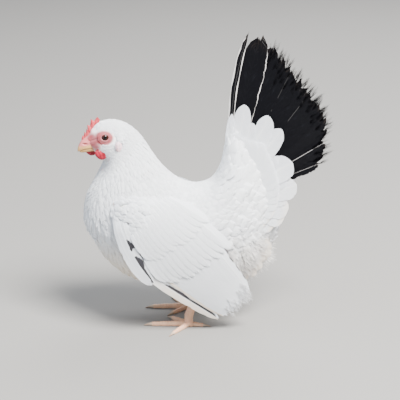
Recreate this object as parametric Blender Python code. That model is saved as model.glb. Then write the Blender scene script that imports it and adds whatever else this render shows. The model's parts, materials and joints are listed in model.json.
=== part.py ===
"""Japanese bantam hen, white with a black tail, life size and standing still.

The bird looks along -X, its left side faces -Y and up is +Z. The origin is on the floor under the middle of
the bird. The tables are in millimetres and are turned into metres where they are read.
"""

import math
import random

import bmesh
import bpy
import numpy as np
from mathutils import Matrix, Vector
from mathutils.bvhtree import BVHTree

MM = 0.001
GAP = 0.3 * MM
ACROSS = Vector((0, 1, 0))
UP = Vector((0, 0, 1))
LEFT, RIGHT = -1, 1
SIDE_NAMES = {LEFT: "left", RIGHT: "right"}

# Sections of the body from the face to the tail root. Each is a tilted plane across the bird, through a point
# on the back and one on the belly: back x, back z, belly x, belly z, half width.
SECTIONS = (
    (-117, 192, -105.5, 172.7, 5.5),
    (-114, 195, -103.5, 170.3, 8),
    (-110.5, 200, -101, 168.5, 10.5),
    (-105, 205.5, -99, 166.4, 12.7),
    (-98, 207.6, -97.5, 164.7, 14),
    (-89, 207.8, -97, 163, 14.8),
    (-79, 205, -98.5, 158.5, 16.5),
    (-69, 198.8, -103, 151.7, 18.5),
    (-60, 189.8, -108, 145.1, 21.5),
    (-52.5, 179, -113.5, 136, 26),
    (-45, 168.4, -117.5, 123.6, 31),
    (-37.5, 159.7, -118.5, 109.2, 36),
    (-29, 152.1, -114, 92.8, 41),
    (-20, 146.7, -105, 74.2, 45),
    (-11, 143.9, -89, 56, 47.5),
    (-3, 143.9, -67, 43.5, 48),
    (4, 146, -40, 37.7, 47),
    (10, 150.4, -10, 34.3, 45),
    (14.5, 157.6, 19, 37, 41),
    (17.5, 166.3, 46, 51, 35),
    (19.5, 176, 62, 73, 28),
    (21, 185.7, 72, 98, 21),
    (23, 196.4, 77, 121.7, 14),
    (25, 206, 74, 141, 9),
    (27, 216, 68, 160, 5),
)
HEAD_END, NECK_END, TORSO_END, RUMP_END, TAIL_CORE_END = 7, 10, 18, 20, 23.5
BODY_SIDES = 24
WIDEST_BELOW = 0.08
STEPS_PER_SECTION = 2

HEAD_TURN = math.radians(15)
HEAD_PIVOT_X = -88 * MM

# Places on the side of the head: x, z, and how far the piece's middle is outside the skin.
EYE_AT = (-99, 192.5, -3.6)
EYE_FACING = (-0.15, 1, 0.12)
EYE_RADIUS = 4.8 * MM
LID_RADIUS, LID_ROLL = 4.3 * MM, 0.95 * MM
LID_OUT = 0.72
EYE_DETAIL = (16, 9)
EAR_AT = (-85, 189, 0.1)
EAR_FACING = (0.1, 1, 0.05)
EAR_RADIUS, EAR_ROLL = 2.6 * MM, 0.8 * MM
EAR_PIT_RADIUS, EAR_PIT_DEPTH = 1.8 * MM, 1.4 * MM
ROLL_SIDES, ROLL_STEPS = 6, 14

BEAK_RIDGE = ((-117.6, 191.8), (-121.3, 187.6), (-124, 182.2), (-125, 177.4))
BEAK_EDGE = ((-108, 179.4), (-114, 178.3), (-119.5, 178), (-124.6, 176.6))
BEAK_HALF_WIDTHS = (5.3, 4.6, 3.3, 1.0)
JAW_EDGE = ((-107.6, 178.9), (-113, 177.9), (-118.5, 177.5), (-123, 177))
JAW_KEEL = ((-105.2, 174), (-111.5, 173.6), (-117.5, 174.4), (-122.8, 176))
JAW_HALF_WIDTHS = (4.6, 4.0, 2.8, 0.9)
NOSTRIL_AT = (-118.2, 4.2, 185.6)
NOSTRIL_SIZE = (1.9, 1.5, 0.8)
BEAK_STEPS, BEAK_ARCH_POINTS = 7, 9
BEAK_ROUNDING = 0.8
# The inner side of each half: how wide its flat is, and how far it is hollowed, as shares.
BEAK_FLAT, BEAK_HOLLOW = 0.4, 0.02

COMB_START, COMB_END = 0.25, 3.9
COMB_POINTS = 5
COMB_STEPS_PER_POINT = 4
COMB_HEIGHT, COMB_LEAST_HEIGHT = 8.2 * MM, 2.9 * MM
COMB_HIGHEST = 0.68
COMB_CUT = 0.5
COMB_THICKNESS, COMB_END_THICKNESS = 3.2 * MM, 1.4 * MM
# Across the comb from one side of its foot to the other: share of the height, and of half the thickness.
COMB_ACROSS = ((0, 1), (0.5, 0.75), (1, 0.35), (1, -0.35), (0.5, -0.75), (0, -1))

WATTLE_AT = (-102, 173, -1.5)
WATTLE_SIZE = (6.5, 2.6, 8.5)
WATTLE_FOLD_DEPTH, WATTLE_FOLD_WIDTH = 0.45, 0.2
WATTLE_SLANT = 0.2
LOBE_AT = (-86, 181, 0)
LOBE_SIZE = (3.4, 2.6, 5.5)

# The folded wing's outline, which its base surface is fitted to: lower front edge and upper rear edge, x, z.
WING_LOWER = ((-92, 130), (-85, 112), (-76, 93), (-63, 74.5), (-48, 55), (-28, 37), (-6, 21.3), (17, 12.8))
WING_UPPER = ((-88, 139), (-63, 147), (-33, 145), (-3, 136), (19, 118), (35, 91), (44, 63.6), (46, 40))
WING_PROUD = 5 * MM
WING_DEEPEN = 2.0
WING_FIT_DEGREE = 4
WING_FIT_COLUMNS, WING_FIT_ROWS = 15, 7

# The fleshy part of the wing: its front edge and its upper rear edge, and how far each row from the wrist to
# the quills stands out of the base surface.
CORE_FRONT = ((-92, 128), (-88, 115), (-81.5, 98), (-73.5, 82), (-64, 68), (-53.5, 56))
CORE_REAR = ((-88, 140), (-66, 150), (-40, 151), (-15, 147), (4, 137), (13, 121))
CORE_LIFT = (-2.4, 2.2, 4.8, 4.2, 1.5, -1.6)
CORE_DEPTH, CORE_EDGE_DEPTH = 10, 6
CORE_EDGE_DROP = 3
CORE_ROUNDING = 0.4
CORE_LEAST = 1.2 * MM
CORE_COLUMNS = 8

# Tiers of wing feathers, each between a line of roots and a line of tips: first, middle and last x, z. The
# first is the lowest in front. Then the count, half width and height over the base surface.
FLIGHT = (((-71, 71), (-41, 99), (-10, 121)), ((16, 10.5), (33.5, 24), (46.5, 41)), 10, 7.8, 0)
GREATER_COVERTS = (((-77, 86), (-49, 113), (-21, 131)), ((-44, 53), (-5, 68), (26, 92)), 8, 7.6, 2.6)
MEDIAN_COVERTS = (((-83, 103), (-60, 127), (-34, 138)), ((-61, 76), (-26, 93), (3, 117)), 7, 7.4, 4.8)
FRONT_COVERTS = (((-90, 122), (-87, 122), (-84, 124)), ((-51, 54), (-56, 63), (-63, 76)), 3, 5.2, 1)

# Feathers: thickness, and how much higher each lies than the one that it covers.
VANE_THICK = 0.6 * MM
SHINGLE = 1.0 * MM
# Share of the length from the root, and share of the full width there, for long and short feathers.
LONG_VANE = ((0, 0.5), (0.3, 0.95), (0.65, 1), (0.9, 0.82), (1, 0.3))
SHORT_VANE = ((0, 0.6), (0.45, 1), (0.85, 0.85), (1, 0.4))
VANE_SEED = 7
# The least and most that a feather's width and length are drawn to be, as shares of the stated ones.
WIDTH_DRAWN, LENGTH_DRAWN, FLUFF_DRAWN = (0.94, 1.05), (0.97, 1), (0.94, 1.04)

# The tail: where all quills point from, and the angle from upright and length of each feather, front to rear.
FAN_CENTRE = (24, 128)
FAN = (
    (8.6, 167), (17, 167.5), (27, 149), (38.5, 134.5), (51, 124.5), (62.4, 111.5), (72.3, 88),
)
FAN_HALF_WIDTH = 14 * MM
FAN_START = 42
LONG_COVERTS = (
    (4.5, 76), (18.4, 82), (30.3, 95), (44, 82), (63, 73), (80, 69), (98, 62), (112, 61), (127, 57),
)
SHORT_COVERTS = ((11, 62), (25, 68), (42, 66), (62, 58), (84, 55), (107, 50))
COVERT_START = 36
COVERT_HALF_WIDTH = 10.5 * MM
LONG_COVERT_LIFT, SHORT_COVERT_LIFT = 3, 5.4
# Half width of the tail at the roots and the tips of its feathers, and how each grows with the angle.
TAIL_ROOT_Y, TAIL_ROOT_Y_GAIN = 6, 0.075
TAIL_TIP_Y, TAIL_TIP_Y_GAIN, TAIL_TIP_Y_MOST = 2.6, 0.19, 16
TAIL_NARROWS_OVER = (40, 100)

# Fluff of the rear: where it spreads from, the angle from upright and length of each row, and how far across
# each feather of a row lies, as a share of the half width.
FLUFF_CENTRE = (18, 100)
FLUFF = ((109, 50), (120, 57), (132, 59), (145, 61), (158, 66))
FLUFF_START = 24
FLUFF_ACROSS = (-0.95, -0.35, 0.35, 0.95)
FLUFF_ROOT_Y, FLUFF_TIP_Y = 17, 15
FLUFF_HALF_WIDTH = 7.5 * MM

LEG_X, LEG_Y = -15 * MM, 25 * MM
FOOT_TOP = 8 * MM
HOCK = (-5, 38)
SHANK_RADIUS = 4.2 * MM
THIGH_TOP = (-10, 62)
THIGH_RADII = (13 * MM, 6.5 * MM)
# From the foot's top to the hock: where the shank starts and ends, where it is thinnest, how thin it is there
# and how it widens to both ends.
SHANK_START, SHANK_END = 0.08, 0.88
SHANK_WAIST_AT, SHANK_WAIST, SHANK_WIDENS = 0.45, 0.9, 0.6
HOCK_WIDTH = 1.1
SHANK_SCUTES, SHANK_SIDES = 5, 10
THIGH_SIDES, THIGH_STEPS = 16, 5
# The foot under the shank: its top as a share of the shank's radius, then its height above the floor and that
# share, downwards.
PAD_TOP = 1.05
PAD = ((5 * MM, 1.1), (0.8 * MM, 1.1), (0, 0.9))
PAD_SIDES = 12
# Each toe: name, heading in degrees outwards from straight ahead, length without the claw, radius at its root
# and how many scutes it has.
TOES = (
    ("middle", 0, 38, 3.1, 6),
    ("outer", 58, 29, 2.7, 5),
    ("inner", -47, 25, 2.7, 4),
    ("hind", 172, 15, 2.5, 3),
)
TOE_SIDES = 8
TOE_HEIGHT = 0.82
TOE_END_SHARE = 0.62
SCUTE_RISE = 0.35 * MM
SCUTE_LENGTH = 0.86
CLAW_LENGTH = 7.5 * MM
CLAW_SIDES, CLAW_STEPS = 6, 5
# A claw's radius and height at its root and tip, as shares of the radius of the toe's end.
CLAW_ROOT, CLAW_TIP = (0.8, 0.9), (0.1, 0.225)
CLAW_CURVE = 1.6

WHITE = ((0.88, 0.88, 0.87), 0.75)
BLACK = ((0.02, 0.02, 0.025), 0.5)
RED = ((0.62, 0.06, 0.07), 0.45)
PALE_PINK = ((0.78, 0.5, 0.5), 0.5)
HORN = ((0.82, 0.66, 0.36), 0.35)
LEG_SKIN = ((0.78, 0.52, 0.32), 0.5)
CLAW = ((0.35, 0.25, 0.18), 0.35)
EYE = ((0.08, 0.025, 0.01), 0.1)


def material(name, look):
    """A plain finish of one colour and roughness, made once and shared by name."""
    found = bpy.data.materials.get(name)
    if found:
        return found
    made = bpy.data.materials.new(name)
    made.use_nodes = True
    colour, roughness = look
    shader = made.node_tree.nodes["Principled BSDF"]
    shader.inputs["Base Color"].default_value = (*colour, 1)
    shader.inputs["Roughness"].default_value = roughness
    shader.inputs["Metallic"].default_value = 0
    return made


def point(x, y, z):
    """A point given in millimetres."""
    return Vector((x, y, z)) * MM


def curve_through(rows, at):
    """The row at a fractional index, on a smooth curve through all the rows.

    Past its ends the curve runs on straight.
    """
    rows = np.asarray(rows, float)
    last = len(rows) - 1
    if at < 0:
        return rows[0] + (rows[1] - rows[0]) * at
    if at > last:
        return rows[last] + (rows[last] - rows[last - 1]) * (at - last)
    i = min(int(at), last - 1)
    t = at - i
    before, start, end, after = rows[max(i - 1, 0)], rows[i], rows[i + 1], rows[min(i + 2, last)]
    return 0.5 * (
        2 * start
        + (end - before) * t
        + (2 * before - 5 * start + 4 * end - after) * t**2
        + (3 * start - before - 3 * end + after) * t**3
    )


def spread(start, end, count):
    """Evenly spaced values from start to end."""
    return [start + (end - start) * i / (count - 1) for i in range(count)]


def new_object(name, shape, look, collection):
    """An object from a bmesh, which is freed, shaded smooth with its sharp edges kept."""
    mesh = bpy.data.meshes.new(name)
    shape.to_mesh(mesh)
    shape.free()
    mesh.shade_smooth()
    mesh.set_sharp_from_angle(angle=math.radians(50))
    mesh.materials.append(look)
    made = bpy.data.objects.new(name, mesh)
    collection.objects.link(made)
    return made


def loft(name, rings, look, collection):
    """A closed body through rings of points, with a flat cap at each end."""
    shape = bmesh.new()
    rows = [[shape.verts.new(p) for p in ring] for ring in rings]
    count = len(rows[0])
    for near, far in zip(rows, rows[1:]):
        for i in range(count):
            j = (i + 1) % count
            shape.faces.new((near[i], near[j], far[j], far[i]))
    shape.faces.new(rows[0])
    shape.faces.new(rows[-1])
    bmesh.ops.recalc_face_normals(shape, faces=shape.faces)
    return new_object(name, shape, look, collection)


def ball(name, centre, size, look, collection, segments=12, rings=7):
    """An ellipsoid with its half sizes along the axes."""
    shape = bmesh.new()
    bmesh.ops.create_uvsphere(shape, u_segments=segments, v_segments=rings, radius=1)
    bmesh.ops.scale(shape, vec=size, verts=shape.verts)
    bmesh.ops.translate(shape, vec=centre, verts=shape.verts)
    return new_object(name, shape, look, collection)


def torus(name, centre, facing, radius, roll, look, collection):
    """A ring round the direction that it faces."""
    turn = facing.to_track_quat("Z", "Y")
    rings = []
    for i in range(ROLL_STEPS):
        a = 2 * math.pi * i / ROLL_STEPS
        outward = Vector((math.cos(a), math.sin(a), 0))
        ring = []
        for k in range(ROLL_SIDES):
            b = 2 * math.pi * k / ROLL_SIDES
            local = outward * (radius + roll * math.cos(b)) + UP * roll * math.sin(b)
            ring.append(centre + turn @ local)
        rings.append(ring)
    shape = bmesh.new()
    rows = [[shape.verts.new(p) for p in ring] for ring in rings]
    for i in range(ROLL_STEPS):
        for k in range(ROLL_SIDES):
            j, m = (i + 1) % ROLL_STEPS, (k + 1) % ROLL_SIDES
            shape.faces.new((rows[i][k], rows[i][m], rows[j][m], rows[j][k]))
    bmesh.ops.recalc_face_normals(shape, faces=shape.faces)
    return new_object(name, shape, look, collection)


def evaluated_mesh(made):
    """The object's mesh with its modifiers applied."""
    bpy.context.view_layer.update()
    graph = bpy.context.evaluated_depsgraph_get()
    return bpy.data.meshes.new_from_object(made.evaluated_get(graph))


def keep_largest(made):
    """Removes every closed surface of the object but the one with the most volume."""
    shape = bmesh.new()
    shape.from_mesh(made.data)
    left, surfaces = set(shape.verts), []
    while left:
        reached, edge = set(), [left.pop()]
        while edge:
            vertex = edge.pop()
            reached.add(vertex)
            for link in vertex.link_edges:
                other = link.other_vert(vertex)
                if other in left:
                    left.discard(other)
                    edge.append(other)
        surfaces.append(reached)
    if len(surfaces) > 1:
        volumes = [spanned_volume(surface) for surface in surfaces]
        keep = surfaces[volumes.index(max(volumes))]
        bmesh.ops.delete(shape, geom=[v for v in shape.verts if v not in keep], context="VERTS")
        shape.to_mesh(made.data)
    shape.free()


def spanned_volume(surface):
    """The volume inside one closed surface, from its faces as fans of triangles."""
    faces = {face for vertex in surface for face in vertex.link_faces}
    total = 0.0
    for face in faces:
        corners = [vertex.co for vertex in face.verts]
        for second, third in zip(corners[1:], corners[2:]):
            total += corners[0].dot(second.cross(third)) / 6
    return abs(total)


def combine(made, others, operation, solver="MANIFOLD"):
    """Joins the others to the object, or cuts them from it, and removes them."""
    group = bpy.data.collections.new(made.name + "_" + operation.lower())
    for other in others:
        for owner in list(other.users_collection):
            owner.objects.unlink(other)
        group.objects.link(other)
    bpy.context.scene.collection.children.link(group)
    step = made.modifiers.new(operation.title(), "BOOLEAN")
    step.operation = operation
    step.operand_type = "COLLECTION"
    step.collection = group
    step.solver = solver
    result = evaluated_mesh(made)
    made.modifiers.clear()
    made.data = result
    for other in others:
        bpy.data.objects.remove(other)
    bpy.data.collections.remove(group)
    keep_largest(made)
    return made


def across_the_middle(made, name, collection):
    """The same piece on the bird's other side."""
    shape = bmesh.new()
    shape.from_mesh(made.data)
    bmesh.ops.scale(shape, vec=(1, -1, 1), verts=shape.verts)
    bmesh.ops.reverse_faces(shape, faces=shape.faces)
    return new_object(name, shape, made.data.materials[0], collection)


def head_share(at):
    """How much of the head's turn a section takes: all of it at the head, none below the neck."""
    share = min(max((NECK_END - at) / (NECK_END - HEAD_END), 0), 1)
    return share * share * (3 - 2 * share)


def turned(place, angle=HEAD_TURN):
    """A point turned about the upright line that the head turns on."""
    pivot = Vector((HEAD_PIVOT_X, 0, 0))
    return Matrix.Rotation(angle, 3, "Z") @ (place - pivot) + pivot


def turn_with_head(made):
    """Moves a piece of the head from straight ahead to where the head looks."""
    for vertex in made.data.vertices:
        vertex.co = turned(vertex.co)
    return made


def body_section(at):
    """Middle, half height as a vector to the back, and half width of the body at a section."""
    back_x, back_z, belly_x, belly_z, half_width = curve_through(SECTIONS, at) * MM
    back, belly = Vector((back_x, 0, back_z)), Vector((belly_x, 0, belly_z))
    return (back + belly) / 2, (back - belly) / 2, half_width


def body_ring(at, grow=0.0, onward=0.0, deepen=1.0, turn=HEAD_TURN):
    """The points round the body at a section.

    grow moves them outwards, onward moves the ring towards the tail, deepen stretches its lower half and turn
    is how far the head looks to the left.
    """
    middle, rise, half_width = body_section(at)
    normal = ACROSS.cross(rise).normalized()
    up = rise.normalized()
    ring = []
    for i in range(BODY_SIDES):
        a = 2 * math.pi * i / BODY_SIDES
        height = math.cos(a) * (rise.length + grow)
        if height < 0:
            height *= deepen
        width = math.sin(a) * (half_width + grow) * (1 - WIDEST_BELOW * math.cos(a))
        ring.append(turned(middle + up * height + ACROSS * width + normal * onward, turn * head_share(at)))
    return ring


def body_piece(name, start, end, look, collection, grow=0.0, per_section=STEPS_PER_SECTION):
    """The body from one section to another. Unless it is grown, its ends stand half the gap back."""
    count = round((end - start) * per_section) + 1
    trim = 0 if grow else GAP / 2
    rings = []
    for i, at in enumerate(spread(start, end, count)):
        onward = trim if i == 0 else -trim if i == count - 1 else 0
        rings.append(body_ring(at, grow, onward))
    return loft(name, rings, look, collection)


def fit_to_head(piece, collection):
    """Turns a piece of the head to where the head looks, and cuts it where it meets head and neck."""
    turn_with_head(piece)
    return combine(piece, [body_piece("head_cutter", 0, NECK_END, None, collection, GAP, 4)], "DIFFERENCE")


def torso_cutter(collection, end=RUMP_END):
    """The torso a gap larger, to cut what lies on it. It ends at the rump unless another end is given."""
    return body_piece("torso_cutter", NECK_END - 2, end, None, collection, GAP)


def mirrored(values, side):
    """A place on the left or right side, from the one stated for the right."""
    x, y, z = values
    return point(x, y * side, z)


def body_surface(start, end, grow=0.0, deepen=1.0, turn=HEAD_TURN, rings_between=40):
    """The body's skin between two sections, for looking up how far out it is."""
    rings = [body_ring(at, grow, 0, deepen, turn) for at in spread(start, end, rings_between)]
    points = [p for ring in rings for p in ring]
    faces = []
    for row in range(len(rings) - 1):
        for i in range(BODY_SIDES):
            j = (i + 1) % BODY_SIDES
            near, far = row * BODY_SIDES, (row + 1) * BODY_SIDES
            faces.append((near + i, near + j, far + j, far + i))
    return BVHTree.FromPolygons(points, faces)


def out_from_middle(surface, x, z):
    """How far the surface is from the middle plane at a place seen from the side."""
    hit = surface.ray_cast(Vector((x, 1, z)), Vector((0, -1, 0)))[0]
    return hit.y if hit else 0.0


def on_head(place, side):
    """A place on the side of the head as it looks straight ahead, from x, z and how far out of the skin."""
    x, z, outside = (value * MM for value in place)
    surface = body_surface(0, HEAD_END, turn=0)
    return Vector((x, side * (out_from_middle(surface, x, z) + outside), z))


def beak_half(name, upper, lower, half_widths, arch_up, look, collection):
    """One half of the beak: arched sections between its ridge or keel and its cutting edge."""
    rings = []
    for at in spread(0, len(upper) - 1, BEAK_STEPS):
        (top_x, top_z), (low_x, low_z) = curve_through(upper, at), curve_through(lower, at)
        top, low = point(top_x, 0, top_z), point(low_x, 0, low_z)
        half = curve_through(half_widths, at) * MM
        flat, crown = (low, top) if arch_up else (top, low)
        ring = []
        for a in spread(0, math.pi, BEAK_ARCH_POINTS):
            height = max(math.sin(a), 0) ** BEAK_ROUNDING
            ring.append(flat + (crown - flat) * height + ACROSS * half * math.cos(a))
        for share in (-BEAK_FLAT, BEAK_FLAT):
            ring.append(flat + ACROSS * half * share + (crown - flat) * BEAK_HOLLOW)
        rings.append(ring)
    return loft(name, rings, look, collection)


def make_beak(collection):
    """Upper beak with two nostrils, and lower beak, parted by the line of the mouth."""
    horn = material("horn", HORN)
    upper = beak_half("beak_upper", BEAK_RIDGE, BEAK_EDGE, BEAK_HALF_WIDTHS, True, horn, collection)
    pits = [
        ball("nostril", mirrored(NOSTRIL_AT, side), Vector(NOSTRIL_SIZE) * MM, horn, collection)
        for side in SIDE_NAMES
    ]
    combine(upper, pits, "DIFFERENCE")
    lower = beak_half("beak_lower", JAW_EDGE, JAW_KEEL, JAW_HALF_WIDTHS, False, horn, collection)
    for half in (upper, lower):
        fit_to_head(half, collection)


def make_head(collection):
    """Head with the rolled lids and sockets of its eyes and the rims of its ears, and the eyes."""
    skin = material("plumage", WHITE)
    head = body_piece("head", 0, HEAD_END, skin, collection)
    rims, hollows = [], []
    for side, name in SIDE_NAMES.items():
        eye_facing = mirrored(EYE_FACING, side).normalized()
        eye_at = on_head(EYE_AT, side)
        lid_at = eye_at + eye_facing * EYE_RADIUS * LID_OUT
        rims.append(torus("lid", lid_at, eye_facing, LID_RADIUS, LID_ROLL, skin, collection))
        ear_facing = mirrored(EAR_FACING, side).normalized()
        ear_at = on_head(EAR_AT, side)
        rims.append(torus("ear", ear_at, ear_facing, EAR_RADIUS, EAR_ROLL, skin, collection))
        pit = Vector((EAR_PIT_RADIUS, EAR_PIT_DEPTH, EAR_PIT_RADIUS))
        hollows.append(ball("ear_pit", ear_at, pit, skin, collection))
        socket = Vector((1, 1, 1)) * (EYE_RADIUS + GAP)
        hollows.append(ball("socket", eye_at, socket, skin, collection, *EYE_DETAIL))
        round_eye = Vector((1, 1, 1)) * EYE_RADIUS
        eye = ball("eye_" + name, eye_at, round_eye, material("eye", EYE), collection, *EYE_DETAIL)
        turn_with_head(eye)
    for made in rims + hollows:
        turn_with_head(made)
    combine(head, rims, "UNION")
    combine(head, hollows, "DIFFERENCE")


def make_comb(collection):
    """Single comb: a plate along the top of the skull, thick at its foot and cut into points."""
    steps = COMB_POINTS * COMB_STEPS_PER_POINT
    rings = []
    for i in range(steps + 1):
        share = i / steps
        middle, rise, _ = body_section(COMB_START + (COMB_END - COMB_START) * share)
        foot = middle + rise + rise.normalized() * GAP
        next_middle, next_rise, _ = body_section(COMB_START + (COMB_END - COMB_START) * (share + 1 / steps))
        along = (next_middle + next_rise - middle - rise).normalized()
        outward = ACROSS.cross(along) * -1
        towards_top = share / COMB_HIGHEST if share < COMB_HIGHEST else (1 - share) / (1 - COMB_HIGHEST)
        point_share = 1 - abs(2 * (share * COMB_POINTS % 1) - 1)
        height = COMB_LEAST_HEIGHT + (COMB_HEIGHT - COMB_LEAST_HEIGHT) * towards_top
        height *= 1 - COMB_CUT + COMB_CUT * point_share
        rounded = math.sqrt(max(math.sin(math.pi * share), 0))
        half = (COMB_END_THICKNESS + (COMB_THICKNESS - COMB_END_THICKNESS) * rounded) / 2
        rings.append([foot + outward * height * lift + ACROSS * half * wide for lift, wide in COMB_ACROSS])
    comb = loft("comb", rings, material("comb", RED), collection)
    fit_to_head(comb, collection)


def make_wattles_and_lobes(collection):
    """The wattles under the beak and the ear lobes, each cut where it meets the head."""
    for side, name in SIDE_NAMES.items():
        for kind, place, size, look in (
            ("wattle", WATTLE_AT, WATTLE_SIZE, material("comb", RED)),
            ("earlobe", LOBE_AT, LOBE_SIZE, material("lobe", PALE_PINK)),
        ):
            lump = ball(f"{kind}_{name}", on_head(place, side), Vector(size) * MM, look, collection)
            if kind == "wattle":
                fold(lump, on_head(place, side), size)
            fit_to_head(lump, collection)


def fold(wattle, centre, size):
    """Presses an upright fold into a wattle, which hangs wider below."""
    for vertex in wattle.data.vertices:
        along, out, up = ((vertex.co[i] - centre[i]) / (size[i] * MM) for i in range(3))
        from_fold = (along - WATTLE_SLANT * up) / WATTLE_FOLD_WIDTH
        crease = 1 - WATTLE_FOLD_DEPTH * math.exp(-(from_fold**2))
        vertex.co.x = centre.x + along * size[0] * MM * (1 - WATTLE_SLANT * up)
        vertex.co.y = centre.y + out * size[1] * MM * crease


def plate(name, rows, look, collection):
    """One thin closed vane. Each row is three points across it, each with the way out by half the thickness.

    Both faces are split into triangles the same way, so that a curved vane doesn't cut itself.
    """
    shape = bmesh.new()
    outer = [[shape.verts.new(place + out) for place, out in row] for row in rows]
    inner = [[shape.verts.new(place - out) for place, out in row] for row in rows]
    for near, far in zip(range(len(rows) - 1), range(1, len(rows))):
        for k in (0, 1):
            for face in (outer, inner):
                shape.faces.new((face[near][k], face[near][k + 1], face[far][k + 1]))
                shape.faces.new((face[near][k], face[far][k + 1], face[far][k]))
        for k in (0, 2):
            shape.faces.new((outer[near][k], outer[far][k], inner[far][k], inner[near][k]))
    for row in (0, -1):
        for k in (0, 1):
            shape.faces.new((outer[row][k], outer[row][k + 1], inner[row][k + 1], inner[row][k]))
    bmesh.ops.recalc_face_normals(shape, faces=shape.faces)
    return new_object(name, shape, look, collection)


def shingled(name, patch, count, outline, half_width, order, look, collection, draw):
    """Feathers side by side on a patch, each a step over its neighbour all along.

    patch gives the place and the way out for a feather's number, also in between, and a share of its length.
    order is 1 where the later feather lies on top and -1 where the earlier one does.
    """
    vanes = []
    for i in range(count):
        wide, reach = half_width * draw.uniform(*WIDTH_DRAWN), draw.uniform(*LENGTH_DRAWN)
        rows = []
        for share, width in outline:
            t = share * reach
            spacing = (patch(i + 0.5, t)[0] - patch(i - 0.5, t)[0]).length
            row = []
            for k in (-1, 0, 1):
                number = i + k * wide * width / spacing
                place, out = patch(number, t)
                row.append((place + out * SHINGLE * order * (i - number), out * VANE_THICK / 2))
            rows.append(row)
        vanes.append(plate(f"{name}_{i}", rows, look, collection))
    return vanes


def bend(points, share):
    """A point on the parabola through three points, which also runs on past its ends."""
    first, middle, last = (np.asarray(p, float) for p in points)
    return (
        first * (1 - share) * (1 - 2 * share)
        + middle * 4 * share * (1 - share)
        + last * share * (2 * share - 1)
    )


def smooth_wing(former):
    """The wing's base surface: a polynomial in x, z for how far out it is, fitted to the former."""
    hundredth = 0.01

    def terms(x, z):
        x, z = x * hundredth, z * hundredth
        powers = range(WING_FIT_DEGREE + 1)
        return [x**i * z**j for i in powers for j in powers if i + j <= WING_FIT_DEGREE]

    last = len(WING_LOWER) - 1
    seen, far_out = [], []
    for at in spread(0, last, WING_FIT_COLUMNS):
        low, high = curve_through(WING_LOWER, at), curve_through(WING_UPPER, at)
        for share in spread(0, 1, WING_FIT_ROWS):
            x, z = low + (high - low) * share
            seen.append(terms(x, z))
            far_out.append(out_from_middle(former, x * MM, z * MM))
    weights = np.linalg.lstsq(np.array(seen), np.array(far_out), rcond=None)[0]
    return lambda x, z: float(np.dot(terms(x, z), weights))


def over_wing(base, x, z, lift, side):
    """A place over the wing's base surface and the way out of it."""
    slope_x = (base(x + 1, z) - base(x - 1, z)) / (2 * MM)
    slope_z = (base(x, z + 1) - base(x, z - 1)) / (2 * MM)
    out = Vector((-slope_x, 1, -slope_z)).normalized()
    place = Vector((x * MM, base(x, z), z * MM)) + out * lift * MM
    place.y *= side
    out.y *= side
    return place, out


def wing_tier(name, tier, base, side, collection, draw):
    """One tier of the wing's feathers, the later ones on top."""
    roots, tips, count, half_width, lift = tier

    def patch(number, share):
        across = number / (count - 1)
        root, tip = bend(roots, across), bend(tips, across)
        x, z = root + (tip - root) * share
        return over_wing(base, x, z, lift, side)

    outline = LONG_VANE if tier is FLIGHT else SHORT_VANE
    look = material("plumage", WHITE)
    return shingled(name, patch, count, outline, half_width * MM, 1, look, collection, draw)


def make_wing(side, base, skin, collection):
    """One folded wing, hanging low: its fleshy part and its flight feathers and coverts in tiers."""
    draw = random.Random(VANE_SEED)
    last = len(CORE_FRONT) - 1
    rings = []
    for at in spread(0, last, 2 * last + 1):
        front, rear = curve_through(CORE_FRONT, at), curve_through(CORE_REAR, at)
        lift = curve_through(CORE_LIFT, at)
        outer, inner = [], []
        for share in spread(0, 1, CORE_COLUMNS + 1):
            x, z = front + (rear - front) * share
            rounded = max(math.sin(math.pi * share), 0) ** CORE_ROUNDING
            place = over_wing(base, x, z, lift * rounded - CORE_EDGE_DROP * (1 - rounded), side)[0]
            least = out_from_middle(skin, place.x, place.z) + CORE_LEAST
            place.y = side * max(abs(place.y), least)
            outer.append(place)
            depth = CORE_EDGE_DEPTH + (CORE_DEPTH - CORE_EDGE_DEPTH) * rounded
            inner.append(over_wing(base, x, z, -depth, side)[0])
        rings.append(outer + inner[::-1])
    wing = loft("wing_" + SIDE_NAMES[side], rings, material("plumage", WHITE), collection)
    vanes = []
    for name, tier in (
        ("flight", FLIGHT),
        ("greater_covert", GREATER_COVERTS),
        ("median_covert", MEDIAN_COVERTS),
        ("front_covert", FRONT_COVERTS),
    ):
        vanes += wing_tier(name, tier, base, side, collection, draw)
    combine(wing, vanes, "UNION")
    combine(wing, [torso_cutter(collection)], "DIFFERENCE")
    return wing


def tail_patch(rays, start, lift, side):
    """Where the tail's feathers lie: on a tent that is narrow in front and wider at the rear."""

    def patch(number, share):
        angle, length = curve_through(rays, number)
        far = start + (length - start) * share
        nearest, over = TAIL_NARROWS_OVER
        narrowed = min(max((far - nearest) / over, 0), 1)
        root_y = TAIL_ROOT_Y + TAIL_ROOT_Y_GAIN * angle
        tip_y = min(TAIL_TIP_Y + TAIL_TIP_Y_GAIN * angle, TAIL_TIP_Y_MOST)
        y = tip_y + (root_y - tip_y) * (1 - narrowed) ** 2 + lift
        turn = math.radians(angle)
        x, z = FAN_CENTRE[0] + far * math.sin(turn), FAN_CENTRE[1] + far * math.cos(turn)
        return point(x, side * y, z), Vector((0, side, 0))

    return patch


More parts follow.
